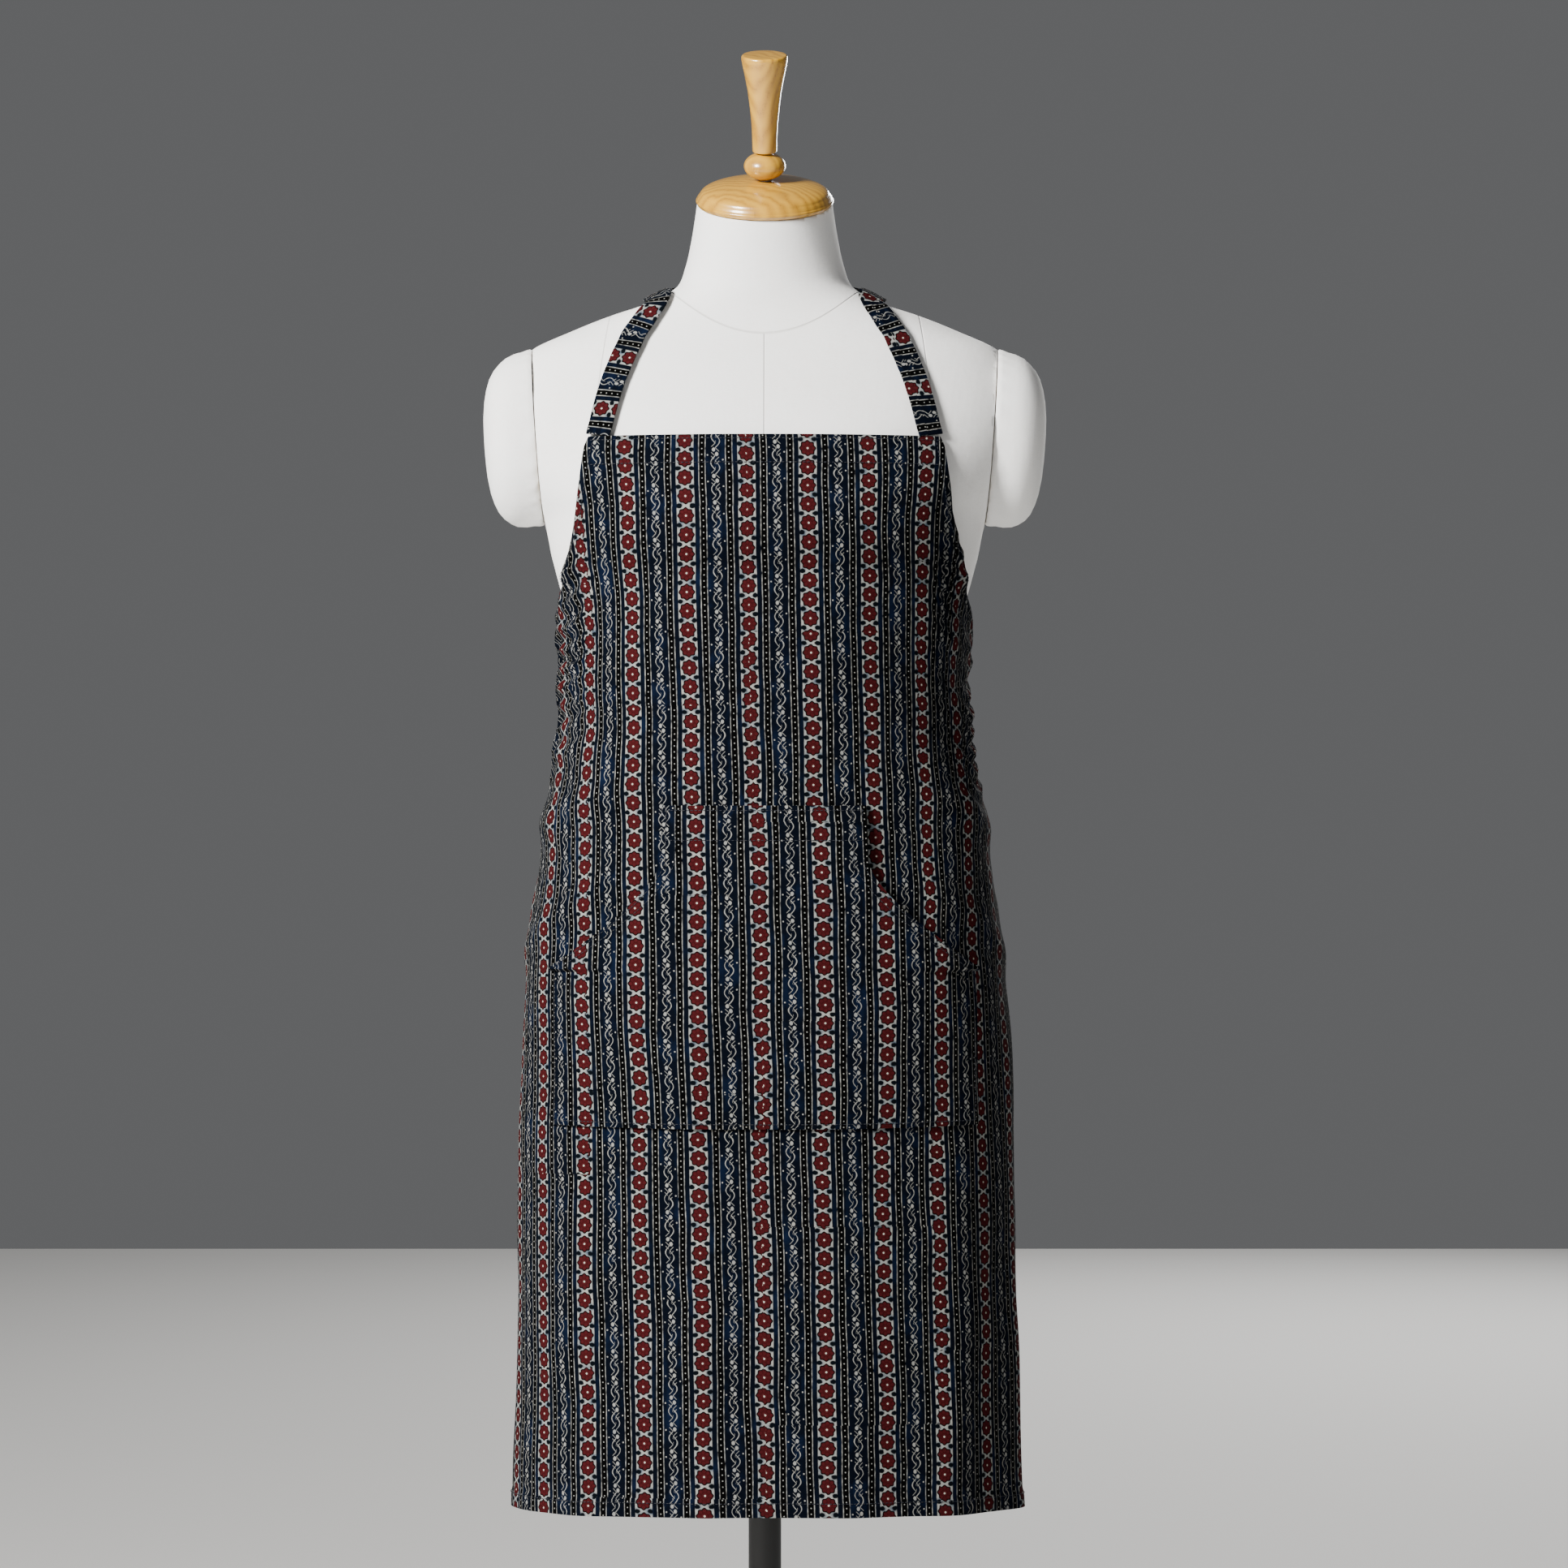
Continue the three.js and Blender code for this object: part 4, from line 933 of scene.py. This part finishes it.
makeTorso("torso_cover_look", "torso_cover", "white_cotton", "cotton", 0.0, 0.0022)
makeTorso("torso_shell_look", "torso_shell", "papier_mache", "papier", 0.0032, 0.0034)
makeArmCap(-1, "left")
makeArmCap(1, "right")
print("torso and arm caps made")


# The apron.
apron = {
    "bibTop": 1.279,
    "bibWidth": 0.270,
    "bibFlare": 0.22,
    "cornerReach": 0.136,
    "width": 0.700,
    "length": 0.798,
    "flat": (0.700, 0.806), # width and length laid out flat
    "curveDepth": 0.176,
    "sideDrop": 0.020,
    "thickness": 0.0008,
    "columns": 201,
    "rows": 231,
    "hemExtra": 0.0009,     # thickness that a turned hem adds
    "standOff": 0.0008,     # middle of the cloth ahead of its own surface
    "knotHeight": 1.100,
}


def apronHalfWidth(depth):
    if depth >= apron["curveDepth"]:
        return apron["width"] / 2
    share = depth / apron["curveDepth"]
    curve = 1 - (1 - share**2.6) ** 0.42
    straight = apron["bibWidth"] / 2 + apron["bibFlare"] * depth
    left = (apron["width"] - apron["bibWidth"]) / 2 - apron["bibFlare"] * apron["curveDepth"]
    return straight + left * curve


edgeDepths = np.linspace(0, apron["curveDepth"], 1200)
edgeWidths = np.array([apronHalfWidth(d) for d in edgeDepths])


def edgeDepth(across):
    across = np.abs(across)
    return np.where(across <= apron["bibWidth"] / 2, 0.0, np.interp(across, edgeWidths, edgeDepths))


# Folds of the hanging cloth, as a push along its normal: soft flutes that deepen to the hem,
# gathers raying from the tie corners, and slack under the bust.
folds = {
    "hemDepth": 0.0085,
    "gatherDepth": 0.0046,
    "gatherReach": 0.19,
    "slack": 0.0034,
    "ruck": 0.0046,         # small gathers under the arms
    "ruckSpacing": 0.0165,
    "crumpleSize": 0.11,
    "crumpleSeed": 7,
    "crumpleDepth": 0.0026,
    "edgeRipple": 0.0024,
    "flutes": [(-0.315, 0.034, 0.5), (-0.235, 0.030, 0.15), (-0.145, 0.036, 0.45), (-0.045, 0.030, 0.3),
               (0.062, 0.034, 0.35), (0.150, 0.030, 0.55), (0.232, 0.032, 0.9), (0.318, 0.030, 1.0)],
}


def crumple(across, depth, size, seed):
    draw = np.random.default_rng(seed)
    total = 0.0
    for _ in range(12):
        heading, phase = draw.uniform(0, math.pi), draw.uniform(0, 2 * math.pi)
        wave = 2 * math.pi / (size * draw.uniform(0.6, 1.7))
        run = across * math.cos(heading) * 1.5 + depth * math.sin(heading) * 0.8
        total = total + np.sin(run * wave + phase)
    return total / 12


def foldPush(across, depth):
    across, depth = np.broadcast_arrays(np.asarray(across, dtype=float), np.asarray(depth, dtype=float))
    below = np.maximum(depth - 0.20, 0) / (apron["length"] - 0.20)
    push = np.zeros(across.shape)
    for spot, width, strength in folds["flutes"]:
        wander = spot * (1 + 0.04 * np.sin(depth * 9 + spot * 20))
        push += folds["hemDepth"] * strength * below**1.25 * np.exp(-((across - wander) / width) ** 2 * 2.2)
    side = np.where(across < 0, -1.0, 1.0)
    du = apron["width"] / 2 + 0.004 - np.abs(across)
    dv = depth - apron["curveDepth"] - 0.012
    distance, angle = np.hypot(du, dv), np.arctan2(dv, du)
    rays = np.cos(angle * 17.0 + side * 0.8 + 1.4 * np.sin(angle * 4 + side) + 14 * distance)
    fineRays = np.cos(angle * 31.0 - side + 2 * np.sin(angle * 5 + distance * 20))
    reach = np.exp(-(distance / folds["gatherReach"]) ** 1.6) * smoothStep(0.006, 0.045, distance)
    edgeAway = smoothStep(0.0, 0.012, depth - edgeDepth(across))
    push += folds["gatherDepth"] * (0.5 + 0.5 * rays) ** 1.4 * reach * edgeAway
    push += folds["gatherDepth"] * 0.3 * (0.5 + 0.5 * fineRays) * reach * edgeAway
    under = smoothStep(0.118, 0.165, np.abs(across)) * (1 - smoothStep(0.27, 0.34, np.abs(across)))
    under = under * smoothStep(0.07, 0.11, depth) * (1 - smoothStep(0.22, 0.30, depth))
    run = depth - 0.30 * np.abs(across) + 0.006 * np.sin(across * 55 + side) + 0.004 * np.sin(across * 120)
    wobble = 1.6 * np.sin(depth * 47 + side * 2)
    ruck = 0.5 + 0.5 * np.sin(run * 2 * math.pi / folds["ruckSpacing"] + wobble)
    uneven = 0.6 + 0.4 * np.sin(across * 38 + depth * 21 + side)
    push += folds["ruck"] * under * ruck**1.3 * uneven * edgeAway
    edge = (np.exp(-((depth - edgeDepth(across)) / 0.02) ** 2)
            * smoothStep(apron["cornerReach"], 0.16, np.abs(across)))
    push += folds["edgeRipple"] * edge * (0.5 + 0.5 * np.sin(depth * 240 + 3 * np.sin(depth * 61 + side)))
    sag = np.exp(-((depth - 0.235 - 0.25 * np.abs(across)) / 0.014) ** 2)
    sag += 0.7 * np.exp(-((depth - 0.285 - 0.42 * np.abs(across)) / 0.012) ** 2)
    push += (folds["slack"] * sag * smoothStep(0.05, 0.16, np.abs(across))
             * (1 - smoothStep(0.24, 0.33, np.abs(across))))
    bumps = crumple(across, depth, folds["crumpleSize"], folds["crumpleSeed"])
    push += np.maximum(bumps * folds["crumpleDepth"] + 0.0006, 0) * smoothStep(0.03, 0.12, depth)
    return push


# Where the apron's middle surface lies; lift is extra distance outward.
def apronPlace(across, depth, lift=0.0):
    share = across / (apron["width"] / 2)
    height = apron["bibTop"] - depth - apron["sideDrop"] * (depth / apron["length"]) * share**2
    return clothPlace(across, height, apron["standOff"] + foldPush(across, depth) + lift)


# The print's own place on the flat cloth: gathers at the sides take up a little of it.
def printPlace(across, depth):
    away = np.abs(across)
    taken = smoothStep(0.07, 0.15, depth) * (1 - 0.7 * smoothStep(0.30, 0.60, depth))
    pulled = 0.013 * taken * smoothStep(0.09, 0.24, away)
    wave = smoothStep(0.10, 0.16, depth) * (1 - smoothStep(0.24, 0.42, depth))
    wave = wave * smoothStep(0.13, 0.20, away)
    pulled = pulled + 0.0016 * wave * np.sin(depth * 150 + away * 170 + 2 * np.sin(depth * 43))
    return np.stack([across + np.where(across < 0, -1, 1) * pulled, depth], -1)


# how far a spot is from the nearer armhole edge or side edge
def sideDistance(across, depth):
    toSide = apron["width"] / 2 - np.abs(across)
    level = np.array([apronHalfWidth(d) for d in np.ravel(depth)]).reshape(np.shape(depth)) - np.abs(across)
    underArm = depth - edgeDepth(across) + 10.0 * (np.abs(across) < apron["cornerReach"])
    return np.minimum(np.minimum(toSide, level), underArm)


def makeApronBody():
    columns, rows = apron["columns"], apron["rows"]
    across = np.linspace(-apron["width"] / 2, apron["width"] / 2, columns)[None, :] * np.ones((rows, 1))
    top = edgeDepth(across)
    depth = top + np.linspace(0, 1, rows)[:, None] * (apron["length"] - top)
    grid = apronPlace(across, depth)
    normals = facing(gridNormals(grid), (0, -1, 0))
    inHem = 1 - (smoothStep(0.0105, 0.0125, apron["length"] - depth)
                 * smoothStep(0.020, 0.0225, depth + (np.abs(across) > apron["bibWidth"] / 2))
                 * smoothStep(0.006, 0.008, sideDistance(across, depth)))
    extra = apron["hemExtra"] * inHem
    keepCloth("apron_body", grid + normals * (extra / 2)[..., None], normals,
              apron["thickness"] + extra, printPlace(across, depth),
              apron["flat"], "hung", finish="print", area=apronArea())


def apronArea():
    acrosses = np.linspace(-apron["width"] / 2, apron["width"] / 2, 701)
    return float(np.trapz(apron["length"] - edgeDepth(acrosses), acrosses))


makeApronBody()
print("apron made")


# The pocket.
pocket = {
    "top": 1.005,
    "bottom": 0.767,
    "mouthTop": 0.964,
    "mouthBottom": 0.882,
    "topHalf": 0.075,
    "half": 0.167,
    "bulge": 0.0065,
    "thickness": 0.0009,
    "columns": 121,
    "rows": 101,
}


def pocketHalfWidth(height):
    share = np.clip((pocket["mouthTop"] - height) / (pocket["mouthTop"] - pocket["mouthBottom"]), 0, 1)
    return pocket["topHalf"] + (pocket["half"] - pocket["topHalf"]) * share**1.5


def pocketPlace(share, height, lift=0.0):
    across = share * pocketHalfWidth(height)
    up = np.clip((height - pocket["bottom"]) / (pocket["top"] - pocket["bottom"]), 0, 1)
    gape = np.sin(math.pi * up) ** 0.7
    sides = np.where(height >= pocket["mouthBottom"], 1.0, 1 - np.abs(share) ** 4)
    fold = foldPush(across, apron["bibTop"] - height)
    return clothPlace(across, height, 0.0033 + fold + pocket["bulge"] * gape * sides + lift)


def makePocket():
    rows, columns = pocket["rows"], pocket["columns"]
    height = np.linspace(pocket["top"], pocket["bottom"], rows)[:, None] * np.ones((1, columns))
    share = np.linspace(-1, 1, columns)[None, :] * np.ones((rows, 1))
    grid = pocketPlace(share, height)
    uvs = printPlace(share * pocketHalfWidth(height), apron["bibTop"] - height)
    normals = facing(gridNormals(grid), (0, -1, 0))
    heights = np.linspace(pocket["bottom"], pocket["top"], 400)
    area = float(np.trapz(2 * pocketHalfWidth(heights), heights))
    keepCloth("pocket", grid, normals, pocket["thickness"], uvs,
              (2 * pocket["half"], pocket["top"] - pocket["bottom"]), "hung",
              finish="pocketPrint", area=area)


makePocket()
print("pocket made")


# Straps, waist ties and bow.
strap = {
    "width": 0.019,
    "thickness": 0.0016,
    "lift": 0.0042,
    "curl": 0.0004,
    "steps": 220,
}
# degrees from the front and drop below the neck base in millimetres, nape to bib corner
strapLine = [[180, -8], [160, -6], [138, -2], [118, 4], [102, 8], [88, 9.5], [64.4, 12], [53.4, 15.5],
             [44.2, 21], [39.1, 28.3], [35.3, 37], [32.1, 49], [32.1, 62], [32.7, 76], [33.6, 93], [35, 110],
             [36.4, 120.7]]


def smoothPath(points, steps):
    points = np.asarray(points, dtype=float)
    ends = np.vstack([2 * points[0] - points[1], points, 2 * points[-1] - points[-2]])
    path = []
    for i in range(1, len(ends) - 2):
        for s in range(steps):
            t = s / steps
            a, b, c, d = ends[i - 1:i + 3]
            path.append(0.5 * (2 * b + (c - a) * t + (2 * a - 5 * b + 4 * c - d) * t**2
                               + (3 * b - a - 3 * c + d) * t**3))
    path.append(points[-1])
    return np.array(path)


# Evenly spaced stations; columns after the third are carried along.
def evenPath(path, count):
    steps = np.linalg.norm(np.diff(path[:, :3], axis=0), axis=1)
    along = np.concatenate([[0], np.cumsum(steps)])
    even = np.linspace(0, along[-1], count)
    return np.stack([np.interp(even, along, path[:, i]) for i in range(path.shape[1])], 1), even


def makeNeckStrap():
    line = np.array(strapLine, dtype=float)
    full = np.vstack([line[::-1], line[1:] * [-1, 1] + [360, 0]])
    stations = []
    for angle, drop in smoothPath(full, 18):
        turn, height = math.radians(angle), body["neckBase"] - drop * mm
        inner = bodyPointsOut(turn, height, strap["lift"])[0]
        outer = bodyPointsOut(turn, height, strap["lift"] + 0.01)[0]
        stations.append([*inner, *(outer - inner)])
    path, along = evenPath(np.array(stations), strap["steps"] * 2)
    tangents = unit(np.gradient(path[:, :3], axis=0))
    sideways = unit(np.cross(tangents, path[:, 3:]))
    outward = np.cross(sideways, tangents)
    spread = np.linspace(-0.5, 0.5, 9)
    grid = path[:, None, :3] + sideways[:, None] * (spread * strap["width"])[:, None]
    grid = grid + outward[:, None] * (strap["curl"] * (1 - (2 * spread) ** 2))[:, None]
    uvs = np.stack(np.broadcast_arrays(spread * strap["width"], along[:, None]), -1)
    normals = gridNormals(grid)
    if (normals[:, 4] * outward).sum() < 0:
        normals = -normals
    keepCloth("neck_strap", grid, normals, strap["thickness"], uvs,
              (strap["width"], round(along[-1], 3)), "stretched")
    print("neck strap length", round(along[-1], 3))


makeNeckStrap()

ties = {
    "width": 0.026,
    "thickness": 0.0014,
    "knotGap": 0.0153,
    "bowThickness": 0.0012,
    "droop": 28.0,          # degrees
    "tailLength": 0.300,
}


def makeWaistTie(side, node):
    wide = ties["width"]
    start = apron["width"] / 2 + 0.0006
    stop = clothLine(apron["knotHeight"])[1][-1] - ties["knotGap"]
    u, v = np.linspace(0, 1, 90)[:, None], np.linspace(0, 1, 11)[None, :]
    distance = start + u * (stop - start)
    pinch = 1 - 0.25 * smoothStep(0.8, 1.0, u)
    height = apron["knotHeight"] + 0.013 - 0.004 * (1 - u) - (0.5 + (v - 0.5) * pinch) * wide
    crease = 0.0009 * np.sin(v * math.pi * 3 + side) * smoothStep(0.45, 1.0, u)
    grid = clothPlace(side * distance, height, 0.0020 + crease)
    normals = facing(gridNormals(grid), (side, 0, 0))
    uvs = np.stack(np.broadcast_arrays(v * wide, distance), -1)
    keepCloth(node, grid, normals, ties["thickness"], uvs, (wide, round(stop - start, 3)), "hung")


makeWaistTie(-1, "waist_tie_left")
makeWaistTie(1, "waist_tie_right")


def boxOf(node):
    low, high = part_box(node)
    return np.array(low), np.array(high)


def makeBow():
    low, high = boxOf("bow_knot")
    centre, half = (low + high) / 2, (high - low) / 2
    turn = np.linspace(0, 2 * math.pi, 40, endpoint=False)
    round0, round1 = (np.sign(f) * np.abs(f) ** 0.75 for f in (np.cos(turn), np.sin(turn)))
    rings = []
    for u in np.linspace(-1, 1, 21):
        pleat = 1 + 0.05 * np.sin(turn * 7 + u * 1.4) * (1 - u**2)
        around = (1 - 0.55 * abs(u) ** 3.2) * pleat * 0.95
        rings.append(np.stack([centre[0] + half[0] * round0 * around, centre[1] + half[1] * round1 * around,
                               np.full(40, centre[2] + half[2] * u * 0.98)], 1))
    made = loftObject("bow_knot_look", rings)
    layer = made.data.uv_layers.new(name="cloth")
    for loop in made.data.loops:
        spot = made.data.vertices[loop.vertex_index].co
        layer.data[loop.index].uv = (spot.x + spot.y, spot.z)
    keep(made, "form", "print_cotton", "strapPrint", "bow_knot")
    for side, hand in ((-1, "left"), (1, "right")):
        makeBowLoop(side, hand)
        makeBowTail(side, hand)


def makeBowLoop(side, hand):
    low, high = boxOf("bow_loop_" + hand)
    reach = high[0] - low[0]
    startX = side * min(abs(low[0]), abs(high[0]))
    turn = math.pi + np.linspace(0, 2 * math.pi, 121)
    u = (1 + np.cos(turn)) / 2
    fat = np.sin(math.pi * np.minimum(u, 1)) ** 0.55 * (0.42 + 0.58 * u)
    x = startX + side * (0.0012 + u * (reach - 0.0024))
    front = np.sign(np.round(np.sin(turn), 6))
    y = (low[1] + high[1]) / 2 + front * fat * ((high[1] - low[1]) / 2 - 0.0012)
    z = apron["knotHeight"] - math.tan(math.radians(ties["droop"])) * u * (reach - 0.002) * 0.94
    path, along = evenPath(np.stack([x, y, z], 1), 150)
    width = ties["width"] * (0.72 + 0.28 * smoothStep(0.0, 0.25, 1 - np.abs(along / along[-1] * 2 - 1)))
    v = np.linspace(-0.5, 0.5, 9)
    grid = np.repeat(path[:, None], 9, axis=1)
    grid[:, :, 2] += v * width[:, None]
    grid[:, :, 1] += 0.0006 * np.sin(v * 9 + along[:, None] * 60)
    uvs = np.stack(np.broadcast_arrays(v * width[:, None], along[:, None]), -1)
    keepCloth("bow_loop_" + hand, grid, gridNormals(grid), ties["bowThickness"], uvs,
              (ties["width"], round(float(along[-1]), 3)), "folded")


def makeBowTail(side, hand):
    low, high = boxOf("bow_tail_" + hand)
    v, u = np.linspace(0, 1, 150)[:, None], np.linspace(0, 1, 11)[None, :]
    height = high[2] - 0.0006 - v * (high[2] - low[2] - 0.0012)
    behind = np.array([max(clothSection(h)[2], 0.0805) for h in height[:, 0]])[:, None]
    ripple = 0.0022 * np.sin(v * 9 + side) * v
    cup = 0.0016 * np.cos(u * math.pi * 2) * (1 - v) + 0.0005 * np.sin(u * 6 + v * 12)
    pinch = 0.62 + 0.38 * smoothStep(0.0, 0.16, v)
    x = side * (0.015 + 0.016 * v) + (u - 0.5) * ties["width"] * pinch
    y = behind + 0.0042 + ripple + cup + 0.0022 * v
    grid = np.stack([x, y, height - 0.004 * v * (u - 0.5) * side], -1)
    uvs = np.stack(np.broadcast_arrays(u * ties["width"], v * ties["tailLength"]), -1)
    keepCloth("bow_tail_" + hand, grid, gridNormals(grid), ties["bowThickness"], uvs,
              (ties["width"], ties["tailLength"]), "hung")


makeBow()
print("straps, ties and bow made")


# Seams: stitch lines along the edges.
seams = {
    "pitch": 0.0031,
    "samples": 260,
    "hemHalf": 0.343,
    "bibHalf": 0.132,
    "hemLine": 0.0105,
    "bibLine": 0.021,
    "bibEdge": 0.0025,
    "sideLine": 0.0062,
    "pocketInset": 0.0035,
    "pocketSecondTop": 0.0255,
    "pocketSecondSide": 0.0105,
    "proud": 0.0003,
}


def makeSeams():
    count = seams["samples"]
    top = apron["thickness"] / 2 + seams["proud"] + apron["hemExtra"]
    hem = np.linspace(-seams["hemHalf"], seams["hemHalf"], count)
    bib = np.linspace(-seams["bibHalf"], seams["bibHalf"], count)
    lines = [apronPlace(hem, apron["length"] - seams["hemLine"], top),
             apronPlace(bib, seams["bibLine"], top), apronPlace(bib, seams["bibEdge"], top)]
    for side in (-1, 1):
        depth = np.linspace(apron["curveDepth"] + 0.004, apron["length"] - 0.004, count)
        lines.append(apronPlace(side * (apron["width"] / 2 - seams["sideLine"]), depth, top))
        depth = np.linspace(0.004, apron["curveDepth"] * 0.96, count)
        half = np.array([apronHalfWidth(d) for d in depth]) - seams["sideLine"]
        lines.append(apronPlace(side * half, depth, top))
    stitchMesh("apron_seam_stitches", lines)

    top = pocket["thickness"] / 2 + seams["proud"]
    inset = seams["pocketInset"]
    lines = []
    for drop in (inset, seams["pocketSecondTop"]):
        lines.append(pocketPlace(np.linspace(-0.96, 0.96, count), pocket["top"] - drop, top))
    lines.append(pocketPlace(np.linspace(-0.98, 0.98, count), pocket["bottom"] + inset, top))
    mouth = np.linspace(pocket["top"] - 0.002, pocket["mouthBottom"] + 0.004, count)
    low = np.linspace(pocket["mouthBottom"], pocket["bottom"] + 0.004, count)
    for side in (-1, 1):
        for height, edge in ((mouth, inset), (mouth, seams["pocketSecondSide"]), (low, inset)):
            lines.append(pocketPlace(side * (1 - edge / pocketHalfWidth(height)), height, top))
    stitchMesh("pocket_seam_stitches", lines)


makeSeams()
print("seams stitched")


# Turned wood top.
woodTop = {
    "handleShares": [0, 0.15, 0.3, 0.5, 0.65, 0.8, 0.95, 1],      # from the ball to the top
    "handleRadii": [9.3, 9.45, 10.0, 11.4, 12.7, 14.6, 16.8, 17.3],
}


def makeWoodTop():
    dome = [(0, 0.3), (50.2, 0.3), (51.2, 0.7)] + arc(50.6, 3.2, 1.7, 1.7, -50, 60, 6)
    dome += [(51.2, 5.6), (49.8, 7.6)] + arc(0, 7.6, 49.2, 11.2, 4, 88, 26) + [(0, 19.0)]
    ball = [(0, 19.35), (5.0, 19.35)] + arc(0, 29.8, 15.8, 10.45, -68, 68, 26) + [(5.0, 40.25), (0, 40.25)]
    handle = [(0, 40.65), (8.6, 40.65), (9.1, 41.1), (9.35, 42.2)]
    for i in range(1, 30):
        share = i / 30
        radius = np.interp(share, woodTop["handleShares"], woodTop["handleRadii"])
        handle.append((float(radius), 42.2 + share * 68.6))
    handle += [(17.4, 111.4)] + arc(15.6, 112.4, 1.8, 2.1, 0, 90, 8) + [(10, 114.58), (0, 114.58)]
    for node, owner, profile, sides in (("neck_cap", "form", dome, 128), ("finial_ball", "finial", ball, 96),
                                        ("finial_handle", "finial", handle, 96)):
        made = turnedObject(node + "_look", profile, neckPlace, sides)
        keep(made, owner, "lacquered_wood", "lacquer", node)


makeWoodTop()


# Stand.
stand = {
    "poleRadius": 12.5,     # millimetres
    "poleWall": 1.5,
    "poleBottom": 155.4,
    "poleTop": 715.4,
}


def makeStand():
    def uprightAt(node, profile, owner, slot, finish, sides=96):
        low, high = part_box(node)
        place = Matrix.Translation(((low.x + high.x) / 2, (low.y + high.y) / 2, 0))
        keep(turnedObject(node + "_look", profile, place, sides), owner, slot, finish, node)

    radius, start, end = stand["poleRadius"], stand["poleBottom"], stand["poleTop"]
    bore = radius - stand["poleWall"]
    pole = [(bore, start), (radius - 0.4, start), (radius, start + 0.4), (radius, end - 0.5)]
    pole += [(radius - 0.4, end), (bore, end), (bore, start)]
    uprightAt("inner_pole", pole, "pole", "black_steel", "blackPaint")
    low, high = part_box("base_plate")
    bottom, top = low.z * 1000, high.z * 1000
    half = (high.x - low.x) / 2 * 1000
    plate = [(0, bottom)] + [(half - 2, bottom)] + arc(half - 2.4, bottom + 2.4, 2.4, 2.4, -80, 0, 6)
    plate += arc(half - 3.6, top - 3.6, 3.6, 3.6, 0, 90, 8) + [(half - 30, top), (0, top)]
    uprightAt("base_plate", plate, "stand", "black_steel", "blackPaint", sides=160)
    for i in range(1, 5):
        node = "foot_pad_%d" % i
        low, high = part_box(node)
        radius, lowZ, highZ = (high.x - low.x) / 2 * 1000, low.z * 1000, high.z * 1000
        pad = [(0, lowZ), (radius - 2, lowZ)] + arc(radius - 1.6, lowZ + 1.6, 1.6, 1.6, -80, 0, 5)
        pad += [(radius, highZ - 0.4), (radius - 0.5, highZ), (0, highZ)]
        uprightAt(node, pad, "stand", "rubber", "rubber", sides=48)


makeStand()
print("wood and stand made")


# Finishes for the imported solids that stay.
stay = {
    "board": ["bottom_board", "neck_block", "arm_plate_left", "arm_plate_right", "arm_cap_board_left",
              "arm_cap_board_right"],
    "steel": ["neck_rod", "neck_nut", "arm_pin_left_1", "arm_pin_left_2", "arm_pin_right_1",
              "arm_pin_right_2", "flange_screw_1", "flange_screw_2", "flange_screw_3", "socket_screw_1",
              "socket_screw_2", "socket_screw_3"],
    "blackPaint": ["pole_flange", "lower_tube", "clamp_collar", "base_socket"],
    "plastic": ["pole_glide", "tube_bush", "pressure_pad", "clamp_knob"],
    "label": ["label_tab"],
}
for finish, nodes in stay.items():
    for node in nodes:
        for place in bpy.data.objects[node].material_slots:
            place.material = finishes[finish]
